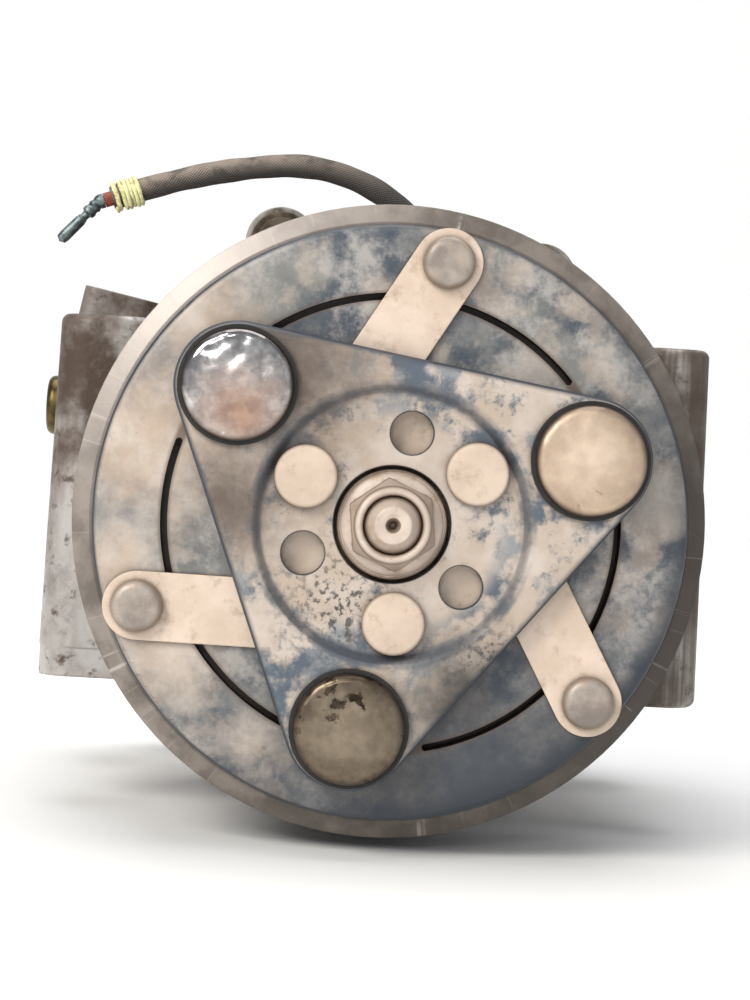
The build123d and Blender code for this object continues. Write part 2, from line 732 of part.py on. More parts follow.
rear_lobe_back = skirt_back + 8.0
bolt_back = skirt_back + 12.5
port_face = Plane(
    (port_block_x, -port_block_station, port_block_top),
    x_dir=(cos(radians(port_tilt)), 0, -sin(radians(port_tilt))),
    z_dir=(sin(radians(port_tilt)), 0, cos(radians(port_tilt))),
)
with BuildPart(SHAFT) as rear_housing:
    disc(skirt_radius, skirt_back, joint_station)
    disc(rear_radius, rear_end, skirt_back)
    fillet(rear_housing.faces().sort_by(Axis.Y)[-1].edges(), rear_edge)
    for angle in bolt_angles:
        with Locations((*on_circle(bolt_circle, angle), rear_lobe_back)):
            Cylinder(bolt_lobe, joint_station - rear_lobe_back, align=BASE)
    for lug in mounting_tubes(-mount_station):
        add(SHAFT.to_local_coords(lug))
    with Locations((port_block_x, port_block_middle, port_block_station)):
        Box(port_block_width, port_root_height, port_block_depth)
    with BuildSketch(port_face):
        RectangleRounded(port_block_width, port_block_depth, port_block_corner)
    extrude(amount=-port_head_height)
    with Locations(Location((valve_seat_x + 6, valve_height, valve_station), (0, 90, 0))):
        Cylinder(valve_boss_radius, 12.0)
    for radius, x in ((rear_pad_radius, rear_port_x), (rear_stud_pad_radius, -rear_port_x)):
        with Locations((x, rear_port_z, rear_pad_end)):
            Cylinder(radius, rear_pad_height, align=BASE)
    with Locations((0, rear_port_z, rear_pad_end)):
        Box(2 * rear_port_x, rear_pad_height, rear_pad_height, align=BASE)
    cut(scroll_bore, fixed_plate_back, joint_station)
    cut(chamber_radius, rear_end + rear_wall, fixed_plate_back)
    with PolarLocations(column_circle, 4, start_angle=45):
        disc(column_radius, rear_end + rear_wall, fixed_plate_back)
    with PolarLocations(column_circle, 4, start_angle=45):
        cut(bolt_radius + 0.2, rear_end, fixed_plate_back)
    for angle in bolt_angles:
        with Locations((*on_circle(bolt_circle, angle), bolt_back - 0.5)):
            Cylinder(bolt_radius, joint_station - bolt_back + 0.5, align=BASE, mode=Mode.SUBTRACT)
    with BuildSketch(port_face):
        Circle(port_radius)
    extrude(amount=-port_depth, mode=Mode.SUBTRACT)
    with BuildSketch(Plane.YZ.offset(port_block_x)):
        with Locations((-port_block_station, suction_height)):
            Circle(port_radius - 1.0)
    extrude(amount=20.0, mode=Mode.SUBTRACT)
    with Locations((rear_port_x, rear_port_z, rear_pad_end)):
        Cylinder(rear_port_radius, 14.0, align=BASE, mode=Mode.SUBTRACT)
    with Locations((-rear_port_x, rear_port_z, rear_pad_end)):
        Cylinder(rear_stud_bore, rear_pad_height, align=BASE, mode=Mode.SUBTRACT)
    with Locations((0, plug_height, rear_end)):
        Cylinder(plug_radius, rear_wall, align=BASE, mode=Mode.SUBTRACT)
    with Locations(Location((valve_seat_x + 6, valve_height, valve_station), (0, 90, 0))):
        Cylinder(valve_stem_radius, 40.0, mode=Mode.SUBTRACT)
    for side in (-1, 1):
        for level in (tube_top, tube_bottom):
            with Locations(Location((side * mount_x, level, -mount_station), (90, 0, 0))):
                Cylinder(sleeve_radius, 2 * sleeve_length, mode=Mode.SUBTRACT)
        with Locations(Location((side * mount_x, 0, -mount_station), (90, 0, 0))):
            Cylinder(mount_bolt_radius, 100.0, mode=Mode.SUBTRACT)
    with Locations((0, 0, joint_station - ring_section)):
        Torus(ring_circle, ring_section + running_gap, mode=Mode.SUBTRACT)
save(rear_housing, "rear_housing")

with BuildPart(SHAFT) as housing_seal:
    with Locations((0, 0, joint_station - ring_section)):
        Torus(ring_circle, ring_section)
save(housing_seal, "housing_seal")

with BuildPart(SHAFT) as housing_bolts:
    for angle in bolt_angles:
        with Locations((*on_circle(bolt_circle, angle), bolt_back)):
            Cylinder(bolt_radius, joint_station + lobe_depth - bolt_back, align=BASE)
        with Locations((*on_circle(bolt_circle, angle), joint_station + lobe_depth)):
            Cylinder(bolt_flange_radius, bolt_flange_height, align=BASE)
            with Locations((0, 0, bolt_flange_height)):
                Cylinder(bolt_head_radius, bolt_head_height, align=BASE)
save(housing_bolts, "housing_bolts")

with BuildPart() as mount_sleeves:
    for side in (-1, 1):
        for station in (mount_station, -mount_station):
            for low in (tube_bottom, tube_top - sleeve_length):
                with Locations((side * mount_x, -station, low)):
                    Cylinder(sleeve_radius, sleeve_length, align=BASE)
                    Cylinder(mount_bolt_radius, sleeve_length, align=BASE, mode=Mode.SUBTRACT)
save(mount_sleeves, "mount_sleeves")

# ---- shaft, seal and bearings ----------------------------------------------------------------------------

with BuildPart(SHAFT) as drive_shaft:
    disc(thread_radius - 0.02, hub_boss_back, shaft_tip)
    chamfer(drive_shaft.faces().sort_by(Axis.Y)[0].edges(), shaft_tip_edge)
    disc(spline_radius, hub_boss_back, nut_back - 0.4)
    disc(seal_journal, main_front, hub_boss_back - shim_thickness)
    disc(spline_radius, hub_boss_back - shim_thickness, hub_boss_back)
    disc(journal_radius, crank_front, main_front)
    disc(crank_disc_radius, crank_back, crank_front)
    with Locations((crank_pin_offset, 0, crank_pin_back)):
        Cylinder(crank_pin_radius, crank_back - crank_pin_back, align=BASE)
    with Locations((0, 0, shaft_tip - centre_drill_depth)):
        Cone(0.4, 1.3, centre_drill_depth, align=BASE, mode=Mode.SUBTRACT)
    with Locations((-crank_flat - 6.0, 0, crank_back)):
        Box(12.0, 40.0, crank_front - crank_back, align=BASE, mode=Mode.SUBTRACT)
save(drive_shaft, "drive_shaft")

with BuildPart(SHAFT) as counterweight:
    disc(counterweight_radius, crank_back, crank_front)
    cut(crank_disc_radius + 0.02, crank_back, crank_front)
    with Locations((14.0, 0, crank_back)):
        Box(40.0, 60.0, crank_front - crank_back, align=BASE, mode=Mode.SUBTRACT)
    with BuildSketch(SHAFT.offset(crank_back)):
        with Locations((-crank_flat - 2.0, 0)):
            Rectangle(3.9, 16.0)
    extrude(amount=crank_front - crank_back)
save(counterweight, "counterweight")

with BuildPart(SHAFT) as shaft_seal:
    disc(seal_bore, seal_back, seal_front)
    cut(seal_journal + 2.4, seal_back, seal_front - 2.0)
    cut(seal_journal + running_gap, seal_front - 2.0, seal_front)
    with Locations((0, 0, seal_back + 1.5)):
        Cone(seal_journal + 1.2, seal_journal + 3.2, 3.9, align=BASE)
        Cone(seal_journal + running_gap, seal_journal + 1.4, 3.9, align=BASE, mode=Mode.SUBTRACT)
        Cylinder(seal_journal + running_gap, 8.0, mode=Mode.SUBTRACT)
save(shaft_seal, "shaft_seal")

snap_ring(nose_bore - 2.2, nose_bore + 0.75, seal_front + 0.25, seal_front + 0.25 + clip_thickness,
          "seal_snap_ring")

with BuildPart(SHAFT) as front_bearing_shell:
    disc(front_bearing_bore, front_bearing_back, front_bearing_front)
    cut(front_needle_circle + front_needle + 0.02, front_bearing_back + 1.0, front_bearing_front - 1.0)
    cut(seal_journal + 0.6, front_bearing_back, front_bearing_front)
save(front_bearing_shell, "front_bearing_shell")

with BuildPart(SHAFT) as front_bearing_needles:
    with PolarLocations(front_needle_circle, front_needle_count):
        disc(front_needle, front_bearing_back + 1.2, front_bearing_front - 1.2)
save(front_bearing_needles, "front_bearing_needles")

main_row = ((main_back + main_front) / 2,)
race("main_bearing_outer", main_outer, main_ball_circle + 2.0, main_back, main_front, main_row,
     main_ball_circle, main_ball)
race("main_bearing_inner", main_ball_circle - 2.0, journal_radius, main_back, main_front, main_row,
     main_ball_circle, main_ball)
ball_cage("main_bearing_cage", main_ball_circle, main_ball, main_ball_count, main_row, 4.2, 0.8)

with BuildPart(SHAFT) as main_bearing_balls:
    with Locations((0, 0, main_row[0])):
        with PolarLocations(main_ball_circle, main_ball_count):
            Sphere(main_ball)
save(main_bearing_balls, "main_bearing_balls")

with BuildPart(SHAFT) as eccentric_bush:
    with Locations((orbit, 0, bush_back)):
        Cylinder(bush_radius, bush_length, align=BASE)
    with Locations((crank_pin_offset, 0, bush_back)):
        Cylinder(crank_pin_radius + 0.02, bush_length, align=BASE, mode=Mode.SUBTRACT)
save(eccentric_bush, "eccentric_bush")

with BuildPart(SHAFT) as bush_snap_ring:
    with Locations((crank_pin_offset, 0, 3.0)):
        Cylinder(crank_pin_radius + 2.0, 0.9, align=BASE)
        Cylinder(crank_pin_radius + 0.01, 0.9, align=BASE, mode=Mode.SUBTRACT)
        with Locations((0, -5.0, 0)):
            Box(3.0, 8.0, 0.9, align=BASE, mode=Mode.SUBTRACT)
save(bush_snap_ring, "bush_snap_ring")

needle_ring = orbit_needle_circle + orbit_needle
with BuildPart(SHAFT) as orbit_bearing_shell:
    with Locations((orbit, 0, 3.0)):
        Cylinder(needle_ring + 1.15, 10.0, align=BASE)
        Cylinder(needle_ring + 0.02, 10.0, align=BASE, mode=Mode.SUBTRACT)
save(orbit_bearing_shell, "orbit_bearing_shell")

with BuildPart(SHAFT) as orbit_bearing_needles:
    with Locations((orbit, 0, 0)):
        with PolarLocations(orbit_needle_circle, orbit_needle_count):
            disc(orbit_needle, 4.2, 12.8)
save(orbit_bearing_needles, "orbit_bearing_needles")

# ---- scrolls ---------------------------------------------------------------------------------------------

seal_width = 1.6
seal_depth = 1.2
seal_ends = 0.5
orbit_tip = wrap_back + tip_gap
with BuildPart(SHAFT) as orbiting_scroll:
    with Locations((orbit, 0, wrap_front)):
        Cylinder(orbit_plate_radius, orbit_plate_front - wrap_front, align=BASE)
        with Locations((0, 0, orbit_plate_front - wrap_front)):
            Cylinder(boss_radius, boss_front - orbit_plate_front, align=BASE)
            Cylinder(needle_ring + 1.15, boss_front - orbit_plate_front, align=BASE, mode=Mode.SUBTRACT)
    extrude(wrap(orbit_tip, scroll_wall, wrap_start, wrap_end, orbit, 0), amount=wrap_front - orbit_tip)
    extrude(wrap(orbit_tip, seal_width, wrap_start + seal_ends, wrap_end - seal_ends / 2, orbit, 0),
            amount=seal_depth, mode=Mode.SUBTRACT)
save(orbiting_scroll, "orbiting_scroll")

with BuildPart(SHAFT) as orbiting_tip_seal:
    extrude(wrap(orbit_tip, seal_width - 0.1, wrap_start + seal_ends + 0.02,
                 wrap_end - seal_ends / 2 - 0.02, orbit, 0), amount=seal_depth)
save(orbiting_tip_seal, "orbiting_tip_seal")

fixed_tip = wrap_front - tip_gap
with BuildPart(SHAFT) as fixed_scroll:
    disc(cup_radius, fixed_plate_back, joint_station - running_gap)
    cut(cup_bore, wrap_back, joint_station)
    extrude(wrap(wrap_back, scroll_wall, wrap_start, wrap_end, 0, 180), amount=fixed_tip - wrap_back)
    extrude(wrap(fixed_tip - seal_depth, seal_width, wrap_start + seal_ends, wrap_end - seal_ends / 2, 0, 180),
            amount=seal_depth, mode=Mode.SUBTRACT)
    cut(3.6, fixed_plate_back, wrap_back)
    with Locations((9.0, 0, fixed_plate_back)):
        Cylinder(1.5, 4.0, align=BASE, mode=Mode.SUBTRACT)
    with PolarLocations(column_circle, 4, start_angle=45):
        cut(bolt_radius, fixed_plate_back, fixed_plate_back + 4.5)
    with Locations(Location((-41.0, suction_height, port_block_station), (0, 90, 0))):
        Cylinder(port_radius - 1.0, 12.0, mode=Mode.SUBTRACT)
save(fixed_scroll, "fixed_scroll")

with BuildPart(SHAFT) as fixed_tip_seal:
    extrude(wrap(fixed_tip - seal_depth, seal_width - 0.1, wrap_start + seal_ends + 0.02,
                 wrap_end - seal_ends / 2 - 0.02, 0, 180), amount=seal_depth)
save(fixed_tip_seal, "fixed_tip_seal")

with BuildPart(SHAFT) as scroll_bolts:
    with PolarLocations(column_circle, 4, start_angle=45):
        disc(bolt_radius, rear_end, fixed_plate_back + 4.0)
        disc(bolt_flange_radius, rear_end - 1.0, rear_end)
        disc(bolt_head_radius, rear_end - 1.0 - bolt_head_height, rear_end - 1.0)
save(scroll_bolts, "scroll_bolts")

# ---- ball coupling ---------------------------------------------------------------------------------------

pocket_radius = coupling_ball + orbit / 2 + 0.12
for label, back, centre in (
    ("coupling_ring_fixed", ledge_station - coupling_thickness, 0),
    ("coupling_ring_orbiting", orbit_plate_front, orbit),
):
    with BuildPart(SHAFT) as ring:
        with Locations((centre, 0, back)):
            Cylinder(orbit_plate_radius, coupling_thickness, align=BASE)
            Cylinder(coupling_inner, coupling_thickness, align=BASE, mode=Mode.SUBTRACT)
            with PolarLocations(coupling_circle, coupling_count, start_angle=15):
                Cylinder(pocket_radius, coupling_thickness, align=BASE, mode=Mode.SUBTRACT)
    save(ring, label)

with BuildPart(SHAFT) as coupling_balls:
    with Locations((orbit / 2, 0, coupling_station)):
        with PolarLocations(coupling_circle, coupling_count, start_angle=15):
            Sphere(coupling_ball)
save(coupling_balls, "coupling_balls")

# ---- valves and plugs ------------------------------------------------------------------------------------

with BuildPart(SHAFT) as discharge_reed:
    with BuildSketch(SHAFT.offset(fixed_plate_back - 0.4)):
        with Locations((4.5, 0)):
            SlotCenterToCenter(9.0, 8.6)
        with Locations((9.0, 0)):
            Circle(1.6, mode=Mode.SUBTRACT)
    extrude(amount=0.35)
save(discharge_reed, "discharge_reed")

with BuildPart(SHAFT) as reed_stop:
    with BuildSketch(Plane((0, -fixed_plate_back, 0), x_dir=(1, 0, 0), z_dir=(0, 0, 1))):
        with BuildLine():
            Polyline((13.5, 0.45), (13.5, 1.9), (6.0, 1.9), (-4.0, 4.0), (-4.0, 2.6), (6.0, 0.45), close=True)
        make_face()
    extrude(amount=3.6, both=True)
    with Locations((9.0, 0, fixed_plate_back - 2.5)):
        Cylinder(1.6, 3.0, align=BASE, mode=Mode.SUBTRACT)
save(reed_stop, "reed_stop")

with BuildPart(SHAFT) as reed_screw:
    with Locations((9.0, 0, fixed_plate_back - 2.0)):
        Cylinder(1.5, 5.7, align=BASE)
    with Locations((9.0, 0, fixed_plate_back - 4.1)):
        Cylinder(2.8, 2.15, align=BASE)
save(reed_screw, "reed_screw")

valve_line = Plane((valve_seat_x, -valve_station, valve_height), x_dir=(0, 1, 0), z_dir=(-1, 0, 0))
with BuildPart(valve_line) as relief_valve_body:
    with Locations((0, 0, -valve_stem_length)):
        Cylinder(valve_stem_radius, valve_stem_length, align=BASE)
    with BuildSketch(valve_line):
        RegularPolygon(valve_hex_half, 6, major_radius=False)
    extrude(amount=5.0)
    with Locations((0, 0, 5.0)):
        Cylinder(valve_radius, valve_seat_x - valve_tip_x - 5.0, align=BASE)
    fillet(relief_valve_body.faces().sort_by(Axis.X)[0].edges(), 1.5)
    with Locations((0, 0, -valve_stem_length)):
        Cylinder(1.5, 6.0, align=BASE, mode=Mode.SUBTRACT)
    with Locations((0, 0, -3.0)):
        Cylinder(3.6, valve_seat_x - valve_tip_x + 1.5, align=BASE, mode=Mode.SUBTRACT)
    with Locations((0, 0, 10.0)):
        Cylinder(1.2, 10.0, align=BASE, mode=Mode.SUBTRACT)
save(relief_valve_body, "relief_valve_body")

with BuildPart(valve_line) as relief_valve_poppet:
    with Locations((0, 0, -2.95)):
        Cylinder(3.4, 2.2, align=BASE)
        with Locations((0, 0, 2.2)):
            Cylinder(1.4, 3.0, align=BASE)
save(relief_valve_poppet, "relief_valve_poppet")

spring_start = valve_seat_x + 0.2
with BuildPart() as relief_valve_spring:
    with BuildLine() as coils:
        Helix(pitch=2.3, height=spring_height, radius=2.7, center=(spring_start, -valve_station, valve_height),
              direction=(-1, 0, 0))
    with BuildSketch(Plane(coils.line @ 0, z_dir=coils.line % 0)):
        Circle(0.4)
    sweep(is_frenet=True)
save(relief_valve_spring, "relief_valve_spring")

with BuildPart(SHAFT) as oil_plug:
    with Locations((0, plug_height, rear_end - plug_head_height)):
        Cylinder(plug_head_radius, plug_head_height, align=BASE)
        Cylinder(2.6, 3.0, align=BASE, mode=Mode.SUBTRACT)
    with Locations((0, plug_height, rear_end)):
        Cylinder(plug_radius, rear_wall - 0.5, align=BASE)
save(oil_plug, "oil_plug")
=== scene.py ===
"""A vehicle air-conditioning compressor, used and dusty, standing with its clutch toward the camera."""

import json
from math import cos, radians, sin, tau

import bmesh
import bpy
import numpy as np
from mathutils import Matrix, Vector


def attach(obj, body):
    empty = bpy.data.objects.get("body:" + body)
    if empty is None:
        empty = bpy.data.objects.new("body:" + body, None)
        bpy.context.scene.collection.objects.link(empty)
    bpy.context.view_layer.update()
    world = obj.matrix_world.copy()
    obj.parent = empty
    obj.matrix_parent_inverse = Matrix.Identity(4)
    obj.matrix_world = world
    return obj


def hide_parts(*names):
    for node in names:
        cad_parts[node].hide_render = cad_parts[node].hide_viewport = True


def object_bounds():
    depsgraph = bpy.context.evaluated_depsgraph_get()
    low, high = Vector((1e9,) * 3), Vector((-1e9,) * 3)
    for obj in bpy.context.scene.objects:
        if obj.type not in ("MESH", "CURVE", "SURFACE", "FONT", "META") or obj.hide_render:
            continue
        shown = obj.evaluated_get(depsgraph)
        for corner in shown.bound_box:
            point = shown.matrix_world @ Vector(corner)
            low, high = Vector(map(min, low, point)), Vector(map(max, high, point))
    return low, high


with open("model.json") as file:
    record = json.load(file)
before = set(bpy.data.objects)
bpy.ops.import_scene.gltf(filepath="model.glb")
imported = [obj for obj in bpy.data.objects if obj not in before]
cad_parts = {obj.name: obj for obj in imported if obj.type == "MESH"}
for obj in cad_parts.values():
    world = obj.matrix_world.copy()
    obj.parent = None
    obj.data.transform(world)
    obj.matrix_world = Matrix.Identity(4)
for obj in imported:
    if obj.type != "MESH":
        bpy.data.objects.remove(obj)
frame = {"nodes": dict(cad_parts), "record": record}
cad_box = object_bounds()
nodes = frame["nodes"]
MM = 0.001

# ---- camera ----------------------------------------------------------------------------------------------

clutch_face = Vector((0.0, -0.0745, 0.0))
camera_left, camera_up, camera_roll = radians(2.2), radians(1.7), radians(3.3)
camera_distance = 0.450
toward_camera = Vector((-sin(camera_left) * cos(camera_up), -cos(camera_left) * cos(camera_up),
                        sin(camera_up)))
turn = toward_camera.to_track_quat("Z", "Y").to_matrix() @ Matrix.Rotation(camera_roll, 3, "Z")
aside = turn @ Vector((-2.62 * MM, 3.93 * MM, 0.0))
camera_data = bpy.data.cameras.new("camera")
camera_data.lens = 93.7
camera_data.sensor_width = 36.0
camera_data.clip_start = 0.01
camera = bpy.data.objects.new("camera", camera_data)
camera.matrix_world = Matrix.Translation(clutch_face + toward_camera * camera_distance + aside) @ turn.to_4x4()
bpy.context.collection.objects.link(camera)
bpy.context.scene.camera = camera
bpy.context.scene.view_settings.view_transform = "Standard"


# ---- surfaces --------------------------------------------------------------------------------------------


def surface(name, points, around=False, along=False, uv=None):
    """A mesh over a grid of points, rows by columns by three. Around closes the columns, along closes the
    rows, and uv gives each grid point its place on the piece."""
    rows, columns = points.shape[:2]
    i, j = np.meshgrid(np.arange(rows - (not along)), np.arange(columns - (not around)), indexing="ij")
    k, m = (i + 1) % rows, (j + 1) % columns
    faces = np.stack([i * columns + j, i * columns + m, k * columns + m, k * columns + j], -1).reshape(-1, 4)
    mesh = bpy.data.meshes.new(name)
    mesh.from_pydata(points.reshape(-1, 3), [], faces)
    if uv is not None:
        layer = mesh.uv_layers.new(name="lie")
        corner = np.stack([np.stack([i, j], -1), np.stack([i, j + 1], -1), np.stack([i + 1, j + 1], -1),
                           np.stack([i + 1, j], -1)], 2).reshape(-1, 2)
        step = np.array([uv[0] / (rows - (not along)), uv[1] / (columns - (not around))])
        layer.data.foreach_set("uv", (corner * step).astype(np.float32).ravel())
    mesh.shade_smooth()
    made = bpy.data.objects.new(name, mesh)
    bpy.context.collection.objects.link(made)
    return made


def outward(piece):
    """Merges the piece's doubles, closes its open ends and points its faces outward."""
    shape = bmesh.new()
    shape.from_mesh(piece.data)
    bmesh.ops.remove_doubles(shape, verts=shape.verts, dist=1e-6)
    bmesh.ops.holes_fill(shape, edges=shape.edges, sides=0)
    bmesh.ops.recalc_face_normals(shape, faces=shape.faces)
    shape.to_mesh(piece.data)
    shape.free()
    return piece


def along_path(path, count):
    """Points at even steps along a path, its unit tangents there, two unit normals square to them, and the
    distances. One normal leans on the shaft's direction, which the lead never follows, so the frame doesn't
    twist."""
    gaps = np.linalg.norm(np.diff(path, axis=0), axis=1)
    distance = np.concatenate([[0.0], np.cumsum(gaps)])
    s = np.linspace(0.0, distance[-1], count)
    points = np.stack([np.interp(s, distance, path[:, k]) for k in range(3)], 1)
    tangent = np.gradient(points, s, axis=0)
    tangent /= np.linalg.norm(tangent, axis=1)[:, None]
    side = np.cross(tangent, [0.0, 1.0, 0.0])
    side /= np.linalg.norm(side, axis=1)[:, None]
    return points, tangent, side, np.cross(tangent, side), s


def carried(points, side, over, radius, angles):
    """A ring of the given radius, one value a grid point, at each point of a path, in the plane of its two
    normals."""
    ring = np.cos(angles)[None, :, None] * side[:, None] + np.sin(angles)[None, :, None] * over[:, None]
    return points[:, None] + radius[:, :, None] * ring


def turned(profile, centre, count=96):
    """Grid points of a profile of (radius, station) turned about a line along the shaft's direction,
    through centre, an (x, z) pair. A station is a distance forward, toward -Y."""
    a = np.linspace(0.0, tau, count, endpoint=False)
    r, s = profile[:, 0][:, None], profile[:, 1][:, None]
    return np.stack([centre[0] + r * np.cos(a), -s + 0.0 * a, centre[1] + r * np.sin(a)], -1)


def softened(name, body, width=0.3 * MM, angle=30.0):
    """A copy of a CAD node with its corners rolled by a small bevel, as stamping or casting leaves them."""
    mesh = nodes[name].data.copy()
    shape = bmesh.new()
    shape.from_mesh(mesh)
    bmesh.ops.remove_doubles(shape, verts=shape.verts, dist=1e-6)
    bmesh.ops.dissolve_limit(shape, angle_limit=radians(0.4), verts=shape.verts, edges=shape.edges)
    shape.to_mesh(mesh)
    shape.free()
    mesh.shade_smooth()
    mesh.set_sharp_from_angle(angle=radians(angle))
    made = bpy.data.objects.new(name + "_soft", mesh)
    bpy.context.collection.objects.link(made)
    bevel = made.modifiers.new("rolled corners", "BEVEL")
    bevel.width = width
    bevel.segments = 2
    bevel.limit_method = "ANGLE"
    bevel.angle_limit = radians(angle)
    bevel.harden_normals = True
    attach(made, body)
    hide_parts(name)
    return made


# ---- clutch lead -----------------------------------------------------------------------------------------

lead_route = np.array([(9.6, -42.0, 46.9), (4.0, -42.0, 54.0), (-5.5, -41.8, 60.9), (-17.0, -41.6, 64.0),
                       (-29.0, -41.8, 62.6), (-41.5, -42.6, 59.6), (-53.0, -43.6, 55.4)]) * MM
curve = bpy.data.curves.new("lead_route", "CURVE")
curve.dimensions = "3D"
curve.resolution_u = 24
spline = curve.splines.new("NURBS")
spline.points.add(len(lead_route) - 1)
spline.points.foreach_set("co", np.column_stack([lead_route, np.ones(len(lead_route))]).ravel())
spline.order_u = 3
spline.use_endpoint_u = True
route_object = bpy.data.objects.new("lead_route", curve)
route_mesh = bpy.data.meshes.new_from_object(route_object)
path = np.empty(len(route_mesh.vertices) * 3)
route_mesh.vertices.foreach_get("co", path)
path = path.reshape(-1, 3)

sleeve_radius = 2.05 * MM
points, tangent, side, over, s = along_path(path, 620)
lead_length = s[-1]
angles = np.linspace(0.0, tau, 120, endpoint=False)
# Two sets of twelve strands wind opposite ways, a turn each 14 mm; the surface stands where one passes over
# the other.
lay = tau * s[:, None] / (14.0 * MM)
wave = 0.09 * MM * np.abs(np.cos(12 * (angles + lay)) * np.cos(12 * (angles - lay)))
bulge = 0.06 * MM * np.sin(s * 410)[:, None] + 0.04 * MM * np.sin(s * 930 + 2)[:, None]
lead = surface("lead_sleeve", carried(points, side, over, sleeve_radius + wave + bulge, angles), around=True,
               uv=(lead_length / MM, 1.0))
outward(lead)
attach(lead, "housing")
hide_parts("coil_lead")

# Yellow thread: a band of wraps over the sleeve, a long step, and one more wrap at the sleeve's very end.
wraps = np.linspace(0.0, 6.1, 700)
at = lead_length - np.interp(wraps, [0.0, 4.5, 5.0, 6.1], [5.2 * MM, 1.9 * MM, 1.0 * MM, 0.45 * MM])
wind = tau * wraps
centre = np.stack([np.interp(at, s, points[:, k]) for k in range(3)], 1)
side_at = np.stack([np.interp(at, s, side[:, k]) for k in range(3)], 1)
over_at = np.stack([np.interp(at, s, over[:, k]) for k in range(3)], 1)
out = np.cos(wind)[:, None] * side_at + np.sin(wind)[:, None] * over_at
wound = centre + (2.42 + 0.12 * np.sin(wind * 0.37))[:, None] * MM * out
wound_tangent = np.gradient(wound, axis=0)
wound_tangent /= np.linalg.norm(wound_tangent, axis=1)[:, None]
wound_over = np.cross(wound_tangent, out)
thread_angles = np.linspace(0.0, tau, 12, endpoint=False)
thread = 0.42 * MM * (1 + 0.12 * np.cos(3 * thread_angles[None] + 5 * wind[:, None]))
tie = surface("lead_tie_thread", carried(wound, out, wound_over, thread, thread_angles), around=True,
              uv=(120.0, 1.0))
outward(tie)
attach(tie, "housing")
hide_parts("lead_tie")

# The terminal: a ferrule, a crimp pinched twice, a thin neck, and a barrel with a notch and a rounded end.
lead_way = tangent[-1]
drop = radians(28.0)
hang = np.array([lead_way[0] * cos(drop) + lead_way[2] * -sin(drop), lead_way[1],
                 lead_way[2] * cos(drop) + lead_way[0] * sin(drop)])
knee = points[-1] + 2.4 * MM * lead_way
spots, _, across, above, reach = along_path(np.array([points[-1] + 1.45 * MM * lead_way, knee,
                                                      knee + 10.4 * MM * hang]), 200)
girth = np.interp(reach,
                  np.array([0.0, 0.05, 0.9, 1.0, 1.5, 2.1, 2.7, 3.3, 3.9, 4.3, 5.0, 5.3, 5.5, 5.7, 9.9, 10.8,
                                   11.3]) * MM,
                  np.array([0.0, 1.35, 1.35, 1.25, 1.05, 1.3, 1.05, 1.3, 1.25, 0.75, 0.75, 1.0, 0.85, 1.05,
                            1.1, 0.95,
                            0.0])) * MM
terminal_columns = 32
round_angles = np.linspace(0.0, tau, terminal_columns, endpoint=False)
terminal = surface("lead_terminal_crimped", carried(spots, across, above, np.repeat(girth[:, None],
                                                                                    terminal_columns, 1),
                                                    round_angles), around=True)
outward(terminal)
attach(terminal, "housing")
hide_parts("lead_terminal")

tuple(path[0])


# ---- shader helpers --------------------------------------------------------------------------------------


def linear(hex_colour):
    """An sRGB hex colour as linear red, green, blue and alpha."""
    parts = [int(hex_colour[i:i + 2], 16) / 255 for i in (1, 3, 5)]
    return [p / 12.92 if p <= 0.04045 else ((p + 0.055) / 1.055) ** 2.4 for p in parts] + [1.0]


def add(tree, kind, inputs=None, out=0, **settings):
    """Adds one shader node with its settings, sets or links its inputs, and gives back one of its outputs.
    An input or output is a name or a number among those that the node shows."""
    node = tree.nodes.new("ShaderNode" + kind)
    for name, value in settings.items():
        setattr(node, name, value)
    shown = [socket for socket in node.inputs if socket.enabled]
    for key, value in (inputs or {}).items():
        socket = shown[key] if isinstance(key, int) else next(s for s in shown if s.name == key)
        if isinstance(value, bpy.types.NodeSocket):
            tree.links.new(value, socket)
        else:
            socket.default_value = linear(value) if isinstance(value, str) else value
    shown = [socket for socket in node.outputs if socket.enabled]
    return shown[out] if isinstance(out, int) else next(s for s in shown if s.name == out)


def blank(name, **constants):
    """A material with one principled shader, its constants set on the shader, its tree and the object
    coordinates."""
    material = bpy.data.materials.new(name)
    material.use_nodes = True
    tree = material.node_tree
    shader = next(node for node in tree.nodes if node.type == "BSDF_PRINCIPLED")
    for key, value in constants.items():
        shader.inputs[key.replace("_", " ")].default_value = value
    return material, tree, shader, add(tree, "TexCoord", out="Object")


def patches(tree, place, size, cover, soft=0.06, seed=0.0, detail=7.0, rough=0.62, warp=0.0):
    """A mask of ragged patches about size metres across over a share cover of the surface, softened at
    their edges."""
    moved = add(tree, "Mapping", {"Vector": place, "Location": (seed, 1.7 * seed, -seed)})
    level = 0.5 + 0.30 * (0.5 - cover)
    noise = add(tree, "TexNoise", {"Vector": moved, "Scale": 1.0 / size, "Detail": detail, "Roughness": rough,
                                   "Distortion": warp})
    return add(tree, "MapRange", {"Value": noise, "From Min": level - soft, "From Max": level + soft},
               interpolation_type="SMOOTHSTEP")


def drift(tree, place, centre, reach, ragged=0.5, seed=0.0):
    """A mask that is 1 at a point and fades out raggedly at a distance, both in metres."""
    away = add(tree, "VectorMath", {0: place, 1: centre}, operation="DISTANCE", out="Value")
    noise = add(tree, "TexNoise", {"Vector": place, "Scale": 260.0, "Detail": 6.0, "Roughness": 0.65,
                                   "W": seed},
                noise_dimensions="4D")
    torn = add(tree, "Math", {0: noise, 1: 2.0 * ragged * reach, 2: away}, operation="MULTIPLY_ADD")
    return add(tree, "MapRange", {"Value": torn, "From Min": reach * (1.0 + ragged),
                                  "From Max": reach * ragged},
               interpolation_type="SMOOTHSTEP")


